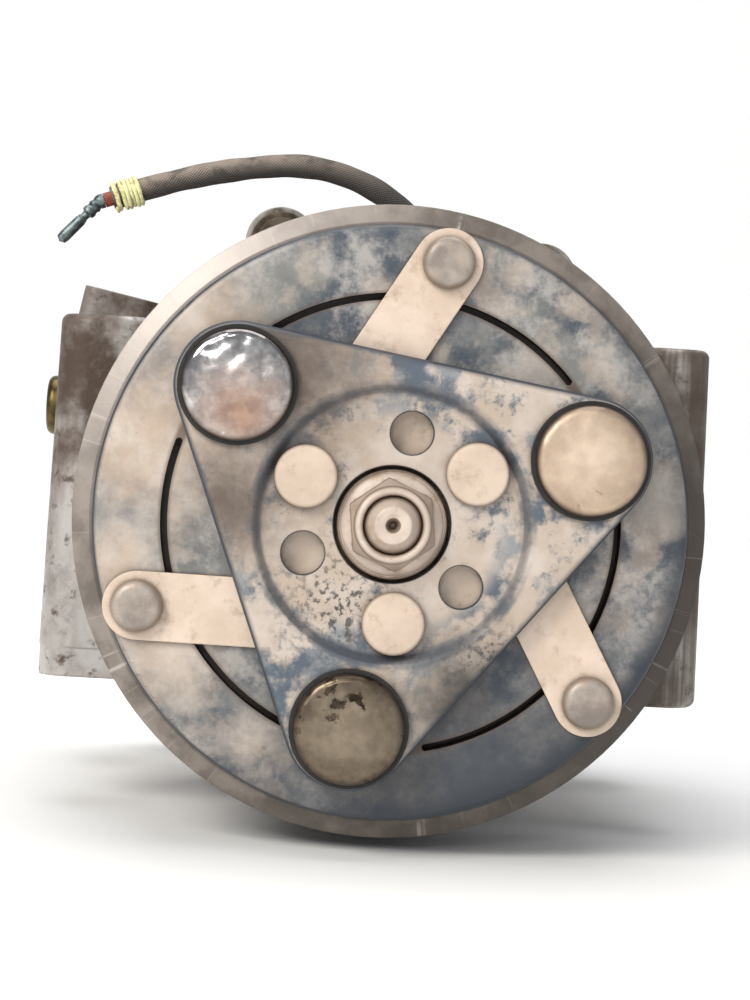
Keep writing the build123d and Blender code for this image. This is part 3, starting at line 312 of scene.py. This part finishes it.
def ring(tree, place, inner, outer, soft=0.8 * MM):
    """A mask of the band between two radii about the shaft's line, with softened edges."""
    flat = add(tree, "VectorMath", {0: place, 1: (1.0, 0.0, 1.0)}, operation="MULTIPLY", out="Vector")
    radius = add(tree, "VectorMath", {0: flat}, operation="LENGTH", out="Value")
    low = add(tree, "MapRange", {"Value": radius, "From Min": inner - soft, "From Max": inner + soft},
              interpolation_type="SMOOTHSTEP")
    high = add(tree, "MapRange", {"Value": radius, "From Min": outer + soft, "From Max": outer - soft},
               interpolation_type="SMOOTHSTEP")
    return add(tree, "Math", {0: low, 1: high}, operation="MULTIPLY")


def slope(tree, flat, steep):
    """A mask that is 0 where a surface faces the clutch's front and 1 where it turns away, between two
    cosines. The darker colours mixed in by it are painted shade."""
    facing = add(tree, "VectorMath", {0: add(tree, "NewGeometry", out="Normal"), 1: (0.0, -1.0, 0.0)},
                 operation="DOT_PRODUCT", out="Value")
    return add(tree, "MapRange", {"Value": facing, "From Min": flat, "From Max": steep})


def crevices(tree, reach, low=0.15, high=0.75):
    """A mask of corners and narrow gaps within reach metres, from ambient occlusion; the colours mixed in by
    it are painted shade.
    """
    open_sky = add(tree, "AmbientOcclusion", {"Distance": reach}, samples=4, out="AO")
    return add(tree, "MapRange", {"Value": open_sky, "From Min": high, "From Max": low})


def worn_edges(tree, radius, low=0.02, high=0.25):
    """A mask of corners that hands and tools rub bare: where a rounded corner's normal leaves the flat
    one's."""
    rounded = add(tree, "Bevel", {"Radius": radius}, samples=4)
    flat = add(tree, "NewGeometry", out="Normal")
    match = add(tree, "VectorMath", {0: rounded, 1: flat}, operation="DOT_PRODUCT", out="Value")
    return add(tree, "MapRange", {"Value": match, "From Min": 1.0 - low, "From Max": 1.0 - high})


def finish(tree, shader, colour, rough, *heights, corner=0.0):
    """Links the colour, the roughness and a chain of (height, depth in metres) reliefs into the shader. A
    corner radius rounds the sharp edges' shading."""
    tree.links.new(colour, shader.inputs["Base Color"])
    tree.links.new(rough, shader.inputs["Roughness"])
    normal = add(tree, "Bevel", {"Radius": corner}, samples=4) if corner else None
    for height, depth in heights:
        inputs = {"Height": height, "Distance": depth, "Strength": 1.0}
        if normal is not None:
            inputs["Normal"] = normal
        normal = add(tree, "Bump", inputs)
    if normal is not None:
        tree.links.new(normal, shader.inputs["Normal"])


def give(material, *names):
    """Puts one material on CAD nodes, by name, or on pieces."""
    for name in names:
        mesh = nodes[name].data if isinstance(name, str) else name.data
        mesh.materials.clear()
        mesh.materials.append(material)


# ---- materials -------------------------------------------------------------------------------------------


def clutch_plate_steel():
    """Pressed carbon steel plate, blued by slipping hot against the pulley, with road dust baked on in pale
    drifts."""
    material, tree, shader, place = blank("blued_pressed_steel")
    colour = add(tree, "Mix", {"Factor": patches(tree, place, 16 * MM, 0.5, soft=0.11, rough=0.7),
                               "A": "#424B57",
                               "B": "#7D7D7A"}, data_type="RGBA")
    colour = add(tree, "Mix", {"Factor": patches(tree, place, 9 * MM, 0.36, soft=0.10, seed=0.3, rough=0.72),
                               "A": colour,
                               "B": "#A5A19D"}, data_type="RGBA")
    dust_from = None
    for centre, reach in (((-42.0, -77.0, 12.0), 24.0), ((-34.0, -77.0, 33.0), 15.0), ((-37.0, -77.0, -24.0),
                                                                                       15.0),
                          ((-46.0, -77.0, -8.0), 12.0), ((-22.0, -77.0, -38.0), 8.0), ((19.0, -77.0, 44.0),
                                                                                       5.0)):
        here = drift(tree, place, [c * MM for c in centre], reach * MM, ragged=0.4, seed=reach)
        dust_from = here if dust_from is None else add(tree, "Math", {0: dust_from, 1: here},
                                                       operation="MAXIMUM")
    thin = add(tree, "Math", {0: patches(tree, place, 15 * MM, 0.4, soft=0.05, seed=0.5), 1: 0.45},
               operation="MULTIPLY")
    cover = add(tree, "Math", {0: dust_from, 1: thin}, operation="MAXIMUM")
    grains = patches(tree, place, 6.0 * MM, 1.0, soft=0.10, seed=0.9, rough=0.75)
    cover = add(tree, "Math", {0: cover, 1: grains}, operation="MULTIPLY")
    dust = add(tree, "Mix", {"Factor": patches(tree, place, 9 * MM, 0.5, soft=0.14, seed=0.2), "A": "#BBA795",
                             "B": "#D0C3B7"}, data_type="RGBA")
    colour = add(tree, "Mix", {"Factor": cover, "A": colour, "B": dust}, data_type="RGBA")
    # Painted shade: the plate is painted darker toward its lower right.
    dark = drift(tree, place, (20.0 * MM, -77.0 * MM, -50.0 * MM), 62.0 * MM, ragged=0.35, seed=5.0)
    colour = add(tree, "Mix", {"Factor": dark, "A": colour, "B": "#3D434B"}, data_type="RGBA")
    lip = add(tree, "Math", {0: ring(tree, place, 38.0 * MM, 39.8 * MM, soft=0.5 * MM), 1: 0.75},
              operation="MULTIPLY")
    colour = add(tree, "Mix", {"Factor": lip, "A": colour, "B": "#5E4A3D"}, data_type="RGBA")
    # The outer ring is dark blue-black, partly its real edge paint and partly painted shade, heaviest toward
    # the lower right; faces turned away from the front are painted darker as shade too.
    dark_edge_and_painted_shade = add(tree, "Math", {0: ring(tree, place, 48.4 * MM, 56.0 * MM, soft=2.2 * MM),
                               1: drift(tree, place, (40.0 * MM, -77.0 * MM, -34.0 * MM), 95.0 * MM,
                                        ragged=0.2)},
                operation="MULTIPLY")
    dark_edge_and_painted_shade = add(tree, "Math", {0: dark_edge_and_painted_shade, 1: slope(tree, 0.97, 0.6)}, operation="MAXIMUM")
    colour = add(tree, "Mix", {"Factor": dark_edge_and_painted_shade, "A": colour, "B": "#2B313A"}, data_type="RGBA")
    # Painted shade: corners and narrow gaps are painted dark brown.
    crevice_shade = crevices(tree, 3.0 * MM)
    colour = add(tree, "Mix", {"Factor": crevice_shade, "A": colour, "B": "#38291F"}, data_type="RGBA")
    rough = add(tree, "MapRange", {"Value": cover, "To Min": 0.38, "To Max": 0.70})
    finish(tree, shader, colour, rough, (cover, 0.04 * MM), (grains, 0.03 * MM))
    return material


def stopper_plate_steel():
    """Pressed and zinc-plated steel plate whose plating has dulled blue-grey under a film of beige road
    dust."""
    material, tree, shader, place = blank("dulled_zinc_plate")
    colour = add(tree, "Mix", {"Factor": patches(tree, place, 12 * MM, 0.5, soft=0.06), "A": "#55606C",
                               "B": "#8F9194"}, data_type="RGBA")
    film = patches(tree, place, 11 * MM, 0.62, soft=0.05, seed=0.4)
    inner = ring(tree, place, -1.0 * MM, 19.0 * MM, soft=2.0 * MM)
    film = add(tree, "Math", {0: film, 1: inner}, operation="MAXIMUM")
    grain = patches(tree, place, 5.0 * MM, 0.85, soft=0.07, seed=1.1, rough=0.75)
    film = add(tree, "Math", {0: film, 1: grain}, operation="MULTIPLY")
    dust = add(tree, "Mix", {"Factor": patches(tree, place, 8 * MM, 0.5, soft=0.14, seed=0.2), "A": "#BAA999",
                             "B": "#C9BDB3"}, data_type="RGBA")
    colour = add(tree, "Mix", {"Factor": film, "A": colour, "B": dust}, data_type="RGBA")
    fleck = patches(tree, place, 1.4 * MM, 0.34, soft=0.06, seed=0.7, detail=5.0)
    speckled = add(tree, "Math", {0: drift(tree, place, (-8.0 * MM, -82.0 * MM, -14.0 * MM), 17.0 * MM),
                                  1: drift(tree, place, (17.0 * MM, -82.0 * MM, -22.0 * MM), 11.0 * MM)},
                   operation="MAXIMUM")
    fleck = add(tree, "Math", {0: fleck, 1: speckled}, operation="MULTIPLY")
    colour = add(tree, "Mix", {"Factor": fleck, "A": colour, "B": "#4E4A47"}, data_type="RGBA")
    # Painted shade: the dish's step wall is painted darker blue-grey, broken into patches.
    step = ring(tree, place, 21.8 * MM, 24.6 * MM, soft=0.5 * MM)
    step = add(tree, "Math", {0: step, 1: patches(tree, place, 12 * MM, 0.5, soft=0.12, seed=0.6)},
               operation="MULTIPLY")
    colour = add(tree, "Mix", {"Factor": step, "A": colour, "B": "#5A6068"}, data_type="RGBA")
    sooty = add(tree, "Math",
                {0: drift(tree, place, (-19.0 * MM, -82.0 * MM, 26.0 * MM), 26.0 * MM, ragged=0.35),
                               1: drift(tree, place, (-29.0 * MM, -82.0 * MM, 2.0 * MM), 18.0 * MM,
                                        ragged=0.4)},
                operation="MAXIMUM")
    colour = add(tree, "Mix", {"Factor": sooty, "A": colour, "B": "#64584F"}, data_type="RGBA")
    oily = drift(tree, place, (14.0 * MM, -82.0 * MM, -30.0 * MM), 19.0 * MM, ragged=0.35, seed=3.0)
    colour = add(tree, "Mix", {"Factor": oily, "A": colour, "B": "#3D3B39"}, data_type="RGBA")
    # Painted shade: faces turned away from the front, along the rolled edges, are painted dark blue-grey,
    # partly the real dark blue of their paint.
    colour = add(tree, "Mix", {"Factor": slope(tree, 0.97, 0.6), "A": colour, "B": "#3C414A"},
                 data_type="RGBA")
    # Painted shade: corners and narrow gaps are painted dark brown.
    crevice_shade = crevices(tree, 2.0 * MM)
    colour = add(tree, "Mix", {"Factor": crevice_shade, "A": colour, "B": "#3A2E28"}, data_type="RGBA")
    rough = add(tree, "MapRange", {"Value": film, "To Min": 0.40, "To Max": 0.66})
    finish(tree, shader, colour, rough, (film, 0.03 * MM), (grain, 0.03 * MM))
    return material


def dusty_steel(name, low, high, metallic=0.0, smooth=0.66):
    """Spring, rivet or nut steel under a coat of fine dry dust, more or less rubbed away to the metal."""
    material, tree, shader, place = blank(name, Metallic=metallic)
    colour = add(tree, "Mix", {"Factor": patches(tree, place, 9 * MM, 0.5, soft=0.14), "A": low,
                               "B": high}, data_type="RGBA")
    stain = patches(tree, place, 4.0 * MM, 0.10, soft=0.10, seed=0.6)
    colour = add(tree, "Mix", {"Factor": stain, "A": colour, "B": "#B39D87"}, data_type="RGBA")
    # Painted shade: faces turned away from the front are painted darker brown.
    colour = add(tree, "Mix", {"Factor": slope(tree, 0.95, 0.3), "A": colour, "B": "#8A7868"},
                 data_type="RGBA")
    # Painted shade: corners and narrow gaps are painted dark brown.
    crevice_shade = crevices(tree, 1.6 * MM)
    colour = add(tree, "Mix", {"Factor": crevice_shade, "A": colour, "B": "#54402F"}, data_type="RGBA")
    grain = add(tree, "TexNoise", {"Vector": place, "Scale": 1 / (0.35 * MM), "Detail": 3.0})
    rough = add(tree, "MapRange", {"Value": stain, "To Min": smooth, "To Max": 0.4})
    finish(tree, shader, colour, rough, (grain, 0.03 * MM), (stain, 0.03 * MM), corner=0.35 * MM)
    return material


def cap_steel(name, film, bare, cover, centre, gloss):
    """A pressed steel cap over a damper, plated bright, with a stain or dust film lying over part of it."""
    material, tree, shader, place = blank(name)
    lie = drift(tree, place, [c * MM for c in centre[:3]], centre[3] * MM, ragged=0.25, seed=centre[0])
    breaks = patches(tree, place, 5 * MM, cover, soft=0.02, seed=0.3, detail=5.0, rough=0.5)
    lie = add(tree, "Math", {0: lie, 1: breaks}, operation="MULTIPLY")
    tone = add(tree, "Mix", {"Factor": patches(tree, place, 4 * MM, 0.5, soft=0.12, seed=0.8), "A": film[0],
                             "B": film[1]}, data_type="RGBA")
    metal = add(tree, "Mix", {"Factor": patches(tree, place, 3 * MM, 0.4, soft=0.12, seed=0.1), "A": bare[0],
                              "B": bare[1]}, data_type="RGBA")
    colour = add(tree, "Mix", {"Factor": lie, "A": metal, "B": tone}, data_type="RGBA")
    tree.links.new(add(tree, "MapRange", {"Value": lie, "To Min": 1.0, "To Max": 0.05}),
                   shader.inputs["Metallic"])
    rough = add(tree, "MapRange", {"Value": lie, "To Min": gloss, "To Max": 0.55})
    # Painted shade: the rolled edge, turned away from the front, is painted dark brown.
    rolled = slope(tree, 0.97, 0.45)
    dents = add(tree, "TexNoise", {"Vector": place, "Scale": 1 / (4.5 * MM), "Detail": 1.0})
    colour = add(tree, "Mix", {"Factor": rolled, "A": colour, "B": "#4A3C33"}, data_type="RGBA")
    finish(tree, shader, colour, rough, (lie, 0.04 * MM), (dents, 0.5 * MM))
    return material


def pulley_steel():
    """Turned steel pulley, its zinc gone brown-grey, with pale water streaks that dried outward across the
    rim."""
    material, tree, shader, place = blank("weathered_turned_steel")
    colour = add(tree, "Mix", {"Factor": patches(tree, place, 12 * MM, 0.5, soft=0.12), "A": "#6A625B",
                               "B": "#91877F"}, data_type="RGBA")
    # Painted light and shade: the rim is painted lighter toward the upper left and darker toward the lower
    # right.
    painted_light_upper_left = drift(tree, place, (-38.0 * MM, -73.0 * MM, 36.0 * MM), 52.0 * MM, ragged=0.25)
    colour = add(tree, "Mix", {"Factor": painted_light_upper_left, "A": colour, "B": "#B9AFA8"}, data_type="RGBA")
    shaded = drift(tree, place, (48.0 * MM, -73.0 * MM, -20.0 * MM), 84.0 * MM, ragged=0.15, seed=2.0)
    colour = add(tree, "Mix", {"Factor": shaded, "A": colour, "B": "#433B35"}, data_type="RGBA")
    flat = add(tree, "VectorMath", {0: place, 1: (1.0, 0.0, 1.0)}, operation="MULTIPLY", out="Vector")
    bearing = add(tree, "VectorMath", {0: flat}, operation="NORMALIZE", out="Vector")
    streaks = add(tree, "TexNoise", {"Vector": bearing, "Scale": 26.0, "Detail": 5.0, "Roughness": 0.6})
    streaks = add(tree, "MapRange", {"Value": streaks, "From Min": 0.58, "From Max": 0.72},
                  interpolation_type="SMOOTHSTEP")
    broken = patches(tree, place, 5 * MM, 0.6, soft=0.08, seed=0.5)
    streaks = add(tree, "Math", {0: streaks, 1: broken}, operation="MULTIPLY")
    colour = add(tree, "Mix", {"Factor": streaks, "A": colour, "B": "#BDB3AC"}, data_type="RGBA")
    # Painted shade: corners and narrow gaps are painted near black.
    crevice_shade = crevices(tree, 4.0 * MM)
    colour = add(tree, "Mix", {"Factor": crevice_shade, "A": colour, "B": "#2E2622"}, data_type="RGBA")
    rough = add(tree, "MapRange", {"Value": streaks, "To Min": 0.42, "To Max": 0.62})
    turned_lines = add(tree, "TexNoise", {"Vector": place, "Scale": 1 / (0.6 * MM), "Detail": 4.0})
    finish(tree, shader, colour, rough, (streaks, 0.03 * MM), (turned_lines, 0.03 * MM), corner=0.3 * MM)
    tree.links.new(add(tree, "MapRange", {"Value": streaks, "To Min": 0.2, "To Max": 0.05}),
                   shader.inputs["Metallic"])
    return material


def cast_aluminium():
    """Die-cast aluminium with a fine pebbled skin, brown in patches and browner still over the boss behind
    the left lug, the right lug's lower part and the top, and rubbed pale on its corners."""
    material, tree, shader, place = blank("stained_cast_aluminium", Metallic=0.35)
    colour = add(tree, "Mix", {"Factor": patches(tree, place, 20 * MM, 0.5, soft=0.12), "A": "#A39A95",
                               "B": "#BDB9B6"}, data_type="RGBA")
    east = add(tree, "MapRange", {"Value": add(tree, "SeparateXYZ", {"Vector": place}, out="X"),
                                  "From Min": 38.0 * MM, "From Max": 46.0 * MM})
    colour = add(tree, "Mix", {"Factor": east, "A": colour, "B": "#6A6057"}, data_type="RGBA")
    upright = add(tree, "Mapping", {"Vector": place, "Scale": (1.0, 1.0, 0.05)})
    runs = patches(tree, upright, 2.6 * MM, 0.30, soft=0.16, seed=0.3, detail=2.0)
    colour = add(tree, "Mix", {"Factor": runs, "A": colour, "B": "#BCB7B3"}, data_type="RGBA")
    brown = patches(tree, place, 26 * MM, 0.35, soft=0.12, seed=0.4)
    for centre, reach in (((-52.0, 12.0, 38.0), 42.0), ((56.0, -20.0, -28.0), 17.0), ((0.0, -8.0, 52.0),
                                                                                      34.0)):
        here = drift(tree, place, [c * MM for c in centre], reach * MM, ragged=0.3, seed=reach)
        brown = add(tree, "Math", {0: brown, 1: here}, operation="MAXIMUM")
    colour = add(tree, "Mix", {"Factor": brown, "A": colour, "B": "#4F4036"}, data_type="RGBA")
    spots = patches(tree, place, 3 * MM, 0.10, soft=0.08, seed=0.8)
    colour = add(tree, "Mix", {"Factor": spots, "A": colour, "B": "#5A4E44"}, data_type="RGBA")
    bare = worn_edges(tree, 0.6 * MM)
    colour = add(tree, "Mix", {"Factor": bare, "A": colour, "B": "#BDB8B0"}, data_type="RGBA")
    # Painted shade: corners and narrow gaps are painted near black.
    crevice_shade = crevices(tree, 6.0 * MM)
    colour = add(tree, "Mix", {"Factor": crevice_shade, "A": colour, "B": "#2A211C"}, data_type="RGBA")
    pebble = add(tree, "TexNoise", {"Vector": place, "Scale": 1 / (0.9 * MM), "Detail": 4.0})
    rough = add(tree, "MapRange", {"Value": brown, "To Min": 0.42, "To Max": 0.60})
    finish(tree, shader, colour, rough, (pebble, 0.10 * MM), (spots, 0.05 * MM), corner=0.8 * MM)
    return material


def plain_metal(name, dark, light, rough_low, rough_high, size=3 * MM):
    """Machined or plated metal inside or behind the compressor, mottled where oil film and handling have
    dulled it."""
    material, tree, shader, place = blank(name, Metallic=1.0)
    mottle = patches(tree, place, size, 0.5, soft=0.14)
    colour = add(tree, "Mix", {"Factor": mottle, "A": dark, "B": light}, data_type="RGBA")
    # Painted shade: corners and narrow gaps are painted dark.
    grime_and_crevice_shade = crevices(tree, 2.0 * MM)
    colour = add(tree, "Mix", {"Factor": grime_and_crevice_shade, "A": colour, "B": "#2B2320"}, data_type="RGBA")
    rough = add(tree, "MapRange", {"Value": mottle, "To Min": rough_low, "To Max": rough_high})
    scratch = add(tree, "TexNoise", {"Vector": place, "Scale": 1 / (0.5 * MM), "Detail": 3.0})
    finish(tree, shader, colour, rough, (scratch, 0.01 * MM), corner=0.2 * MM)
    return material


def plain_polymer(name, dark, light, rough_low, rough_high, size=2 * MM, depth=0.02 * MM):
    """Moulded rubber or plastic with the faint mottle and fine grain of its mould, and dust where it has
    settled."""
    material, tree, shader, place = blank(name)
    mottle = patches(tree, place, size, 0.45, soft=0.12)
    colour = add(tree, "Mix", {"Factor": mottle, "A": dark, "B": light}, data_type="RGBA")
    grain = add(tree, "TexNoise", {"Vector": place, "Scale": 1 / (0.3 * MM), "Detail": 3.0})
    rough = add(tree, "MapRange", {"Value": mottle, "To Min": rough_low, "To Max": rough_high})
    finish(tree, shader, colour, rough, (grain, depth))
    return material


def sleeve_braid():
    """Braided glass-fibre sleeving, soaked dark with oil, its upper strands rubbed fuzzy and beige."""
    material, tree, shader, place = blank("oiled_braided_sleeve")
    lie = add(tree, "UVMap", uv_map="lie")
    turns = add(tree, "Mapping", {"Vector": lie, "Scale": (tau / 14.0, 12.0 * tau, 1.0)})
    apart = add(tree, "SeparateXYZ", {"Vector": turns}, out="X")
    round_ = apart.node.outputs["Y"]
    wind = add(tree, "Math", {0: apart, 1: 12.0}, operation="MULTIPLY")
    first = add(tree, "Math", {0: add(tree, "Math", {0: round_, 1: wind}, operation="ADD")},
                operation="COSINE")
    second = add(tree, "Math", {0: add(tree, "Math", {0: round_, 1: wind}, operation="SUBTRACT")},
                 operation="COSINE")
    strands = add(tree, "Math", {0: first, 1: second}, operation="MULTIPLY")
    strands = add(tree, "Math", {0: strands}, operation="ABSOLUTE")
    colour = add(tree, "Mix", {"Factor": strands, "A": "#2E2B2A", "B": "#5C5652"}, data_type="RGBA")
    worn = add(tree, "MapRange", {"Value": add(tree, "SeparateXYZ", {"Vector": place}, out="X"),
                                  "From Min": 0.0, "From Max": -22.0 * MM})
    up = add(tree, "SeparateXYZ", {"Vector": add(tree, "NewGeometry", out="Normal")}, out="Z")
    top = add(tree, "MapRange", {"Value": up, "From Min": -0.5, "From Max": 0.5})
    top = add(tree, "Math", {0: top, 1: worn}, operation="MULTIPLY")
    top = add(tree, "Math", {0: top, 1: patches(tree, place, 4 * MM, 0.75, soft=0.14, seed=0.7)},
              operation="MULTIPLY")
    pale = add(tree, "Mix", {"Factor": strands, "A": "#8A7D72", "B": "#ADA195"}, data_type="RGBA")
    colour = add(tree, "Mix", {"Factor": top, "A": colour, "B": pale}, data_type="RGBA")
    rough = add(tree, "MapRange", {"Value": strands, "To Min": 0.75, "To Max": 0.9})
    fibre = add(tree, "TexNoise", {"Vector": place, "Scale": 1 / (0.25 * MM), "Detail": 4.0})
    finish(tree, shader, colour, rough, (strands, 0.12 * MM), (fibre, 0.06 * MM))
    return material


def thread_yellow():
    """Twisted cotton thread, dyed yellow and greyed by handling."""
    material, tree, shader, place = blank("twisted_yellow_thread", Sheen_Weight=0.3)
    grime_and_crevice_shade = patches(tree, place, 1.5 * MM, 0.35, soft=0.08)
    colour = add(tree, "Mix", {"Factor": grime_and_crevice_shade, "A": "#EAE8AE", "B": "#BDB47C"}, data_type="RGBA")
    # Painted shade: corners and narrow gaps are painted dark olive.
    crevice_shade = crevices(tree, 0.8 * MM)
    colour = add(tree, "Mix", {"Factor": crevice_shade, "A": colour, "B": "#6C6238"}, data_type="RGBA")
    fibre = add(tree, "TexNoise", {"Vector": place, "Scale": 1 / (0.12 * MM), "Detail": 3.0})
    rough = add(tree, "MapRange", {"Value": grime_and_crevice_shade, "To Min": 0.7, "To Max": 0.85})
    finish(tree, shader, colour, rough, (fibre, 0.05 * MM))
    return material


# ---- pieces ----------------------------------------------------------------------------------------------

slot_material = {
    "clutch_steel": clutch_plate_steel(),
    "plate_steel": stopper_plate_steel(),
    "dusty_steel": dusty_steel("dust_coated_steel", "#D2BDAA", "#E2CFBE"),
    "hub_rivet_steel": dusty_steel("dust_rubbed_steel", "#C6B2A0", "#D6C3B1"),
    "rivet_steel": dusty_steel("rubbed_rivet_steel", "#857B74", "#B3A79C", 0.25, 0.42),
    "nut_steel": dusty_steel("phosphated_nut_steel", "#C4B3A6", "#DCCBBE", 0.05, 0.42),
    "pulley_steel": pulley_steel(),
    "cast_aluminium": cast_aluminium(),
    "cap_steel": plain_metal("plated_cap_steel", "#8E8780", "#B9B2AA", 0.25, 0.4),
    "bright_steel": plain_metal("ground_bearing_steel", "#B8B6B2", "#D4D2CE", 0.15, 0.28),
    "bolt_steel": plain_metal("plated_bolt_steel", "#5C5247", "#7D7264", 0.35, 0.52),
    "scroll_aluminium": plain_metal("machined_scroll_aluminium", "#B9BABB", "#D2D3D4", 0.25, 0.36),
    "coil_steel": plain_metal("coil_case_steel", "#4C4A49", "#6E6A66", 0.42, 0.6),
    "brass": plain_metal("oiled_brass", "#4A3F2A", "#6B5B3A", 0.28, 0.45),
    "terminal": plain_metal("tinned_crimp_terminal", "#4C5455", "#7C8788", 0.32, 0.5, size=1.5 * MM),
    "coil_resin": plain_polymer("coil_varnish_resin", "#4B2A1B", "#6A3E27", 0.3, 0.45),
    "rubber": plain_polymer("aged_black_rubber", "#171615", "#2B2725", 0.5, 0.7),
    "insulation": plain_polymer("moulded_red_insulation", "#6E2A1A", "#97422C", 0.4, 0.55, size=1 * MM),
    "cage_plastic": plain_polymer("nylon_bearing_cage", "#B9A77C", "#D0C199", 0.35, 0.5),
    "seal_plastic": plain_polymer("ptfe_seal", "#3B3A39", "#55524E", 0.35, 0.5),
    "sleeve": sleeve_braid(),
    "tie": thread_yellow(),
}
look = {"hub_rivets": "hub_rivet_steel", "armature_rivets": "rivet_steel", "shaft_nut": "nut_steel",
        "drive_shaft": "nut_steel"}
slots = {part["node"]: part["material_slot"] for part in frame["record"]["subparts"]}
for name, slot_name in slots.items():
    give(slot_material[look.get(name, slot_name)], name)

give(slot_material["sleeve"], lead)
give(slot_material["terminal"], terminal)
give(slot_material["tie"], tie)

for name, body, width in (("stopper_plate", "shaft", 0.35 * MM), ("armature_plate", "armature", 0.4 * MM),
                          ("hub_rivets", "shaft", 0.5 * MM), ("armature_rivets", "armature", 0.5 * MM),
                          ("drive_shaft", "shaft", 0.2 * MM)):
    piece = softened(name, body, width)
    give(slot_material[look.get(name, slots[name])], piece)

# The nut: a round flange with a groove near its rim, a hexagon with chamfered corners, and a rounded
# locking crown.
crown = np.linspace(0.0, tau / 2, 14)
nut_rows = np.vstack([
    [(5.05, 78.0), (9.2, 78.0), (9.45, 78.3), (9.45, 81.6), (9.2, 81.9), (8.95, 81.6), (8.8, 81.6), (8.55,
                                                                                                     81.95),
     (8.0, 82.15), (7.7, 82.3)],
    np.column_stack([np.full(12, 9.0), np.linspace(82.5, 84.9, 12)]),
    [(6.6, 85.1), (6.6, 85.4)],
    np.column_stack([5.82 + 0.78 * np.cos(crown), 85.7 + 1.05 * np.sin(crown)]),
    [(5.05, 84.0)],
])
nut_columns = 240
hex_rows = slice(10, 22)
hex_stations = nut_rows[hex_rows, 1][:, None]
nut_points = turned(nut_rows * MM, (0.0, 0.0), count=nut_columns)
nut_angles = np.linspace(0.0, tau, nut_columns, endpoint=False) - radians(36.7)
# A row of the hexagon lies at 7 mm over the cosine of the angle from its nearest flat, cut down by the
# chamfer's cone.
flats = 7.0 / np.cos(np.mod(nut_angles, tau / 6) - tau / 12)
hexagon = np.minimum(flats[None], 8.4 - 0.7 * (hex_stations - 82.5))
hexagon = np.where(hex_stations > 84.8, np.minimum(hexagon, 6.7), hexagon)
nut_points[hex_rows, :, 0::2] *= (hexagon / nut_rows[hex_rows, 0][:, None])[:, :, None]
nut = outward(surface("shaft_nut_turned", nut_points, around=True, along=True))
nut.data.set_sharp_from_angle(angle=radians(40))
give(slot_material["nut_steel"], nut)
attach(nut, "shaft")
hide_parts("shaft_nut")

# Three pressed caps: a face that domes by 0.4 mm, a 1.6 mm rolled edge and a short wall down to the rubber.
cap_looks = (
    (141.1, "damper_cap_bright",
     cap_steel("bright_plated_cap", ("#90705F", "#AC8D7B"), ("#A9A7A8", "#DEDCDA"), 1.1,
               (-26.5, -87.6, 17.4, 13.0), 0.13)),
    (21.1, "damper_cap_dusty",
     cap_steel("dust_filmed_cap", ("#C8B19C", "#D6C1AC"), ("#A8917C", "#BFA98F"), 0.97,
               (32.4, -87.6, 13.2, 15.0), 0.35)),
    (261.1, "damper_cap_oily",
     cap_steel("oil_stained_cap", ("#7A6C5B", "#8F816D"), ("#3E352D", "#6B5F50"), 0.86,
               (-5.5, -87.6, -34.9, 14.0), 0.22)),
)
edge = np.linspace(0.0, tau / 4, 10)
face = np.linspace(0.0, 7.9, 12)
cap_profile = np.column_stack([
    np.concatenate([face, 7.9 + 1.6 * np.sin(edge[1:]), [9.5, 0.0]]),
    np.concatenate([87.8 - 0.4 * (face / 7.9) ** 2, 85.8 + 1.6 * np.cos(edge[1:]), [85.3, 85.3]]),
]) * MM
cap_circle = 35.3 * MM
for angle, name, material in cap_looks:
    middle = (cap_circle * cos(radians(angle)), cap_circle * sin(radians(angle)))
    cap = outward(surface(name, turned(cap_profile, middle), around=True))
    cap.data.set_sharp_from_angle(angle=radians(50))
    give(material, cap)
    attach(cap, "shaft")
    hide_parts("damper_caps")

# ---- floor and light -------------------------------------------------------------------------------------

floor_height = cad_box[0][2]
depth = np.concatenate([np.linspace(-1.2, 1.0, 12), 1.0 + 0.6 * np.sin(np.linspace(0, tau / 4, 10)[1:]),
                        [1.6, 1.6]])
rise = np.concatenate([np.zeros(12), 0.6 - 0.6 * np.cos(np.linspace(0, tau / 4, 10)[1:]), [1.2, 2.4]])
wide = np.linspace(-2.5, 2.5, 9)
sweep = np.stack([np.broadcast_to(wide, (len(depth), 9)), np.broadcast_to(depth[:, None], (len(depth), 9)),
                  np.broadcast_to((rise + floor_height)[:, None], (len(depth), 9))], -1)
backdrop = surface("floor_sweep", sweep)
pale = bpy.data.materials.new("matt_white_paper")
pale.use_nodes = True
paper = next(node for node in pale.node_tree.nodes if node.type == "BSDF_PRINCIPLED")
paper.inputs["Base Color"].default_value = linear("#F4F4F3")
paper.inputs["Roughness"].default_value = 0.9
give(pale, backdrop)


def area_light(name, place, aim, size, power, colour):
    """A soft square lamp at a place, pointed at another."""
    lamp = bpy.data.lights.new(name, "AREA")
    lamp.shape = "SQUARE"
    lamp.size = size
    lamp.energy = power
    lamp.color = linear(colour)[:3]
    made = bpy.data.objects.new(name, lamp)
    made.location = place
    made.rotation_euler = (Vector(aim) - Vector(place)).to_track_quat("-Z", "Y").to_euler()
    bpy.context.collection.objects.link(made)


area_light("key_light", (-0.60, -0.75, 0.65), (0.0, -0.08, 0.0), 0.5, 9.5, "#FFFBF4")
area_light("glint_light", (-0.16, -1.0, 0.34), (0.0, -0.08, 0.0), 0.14, 0.9, "#FFFFFF")
area_light("fill_light", (0.8, -0.7, 0.15), (0.0, -0.08, 0.0), 0.8, 0.6, "#F2F6FF")
area_light("top_light", (0.0, 0.1, 1.1), (0.0, 0.0, 0.0), 0.9, 6.0, "#FFFFFF")
area_light("backdrop_light", (0.0, 0.3, 1.0), (0.0, 1.4, 0.4), 1.0, 9.0, "#FFFFFF")
world = bpy.data.worlds.new("studio")
world.use_nodes = True
world.node_tree.nodes["Background"].inputs["Color"].default_value = (0.95, 0.97, 1.0, 1.0)
world.node_tree.nodes["Background"].inputs["Strength"].default_value = 0.41
bpy.context.scene.world = world
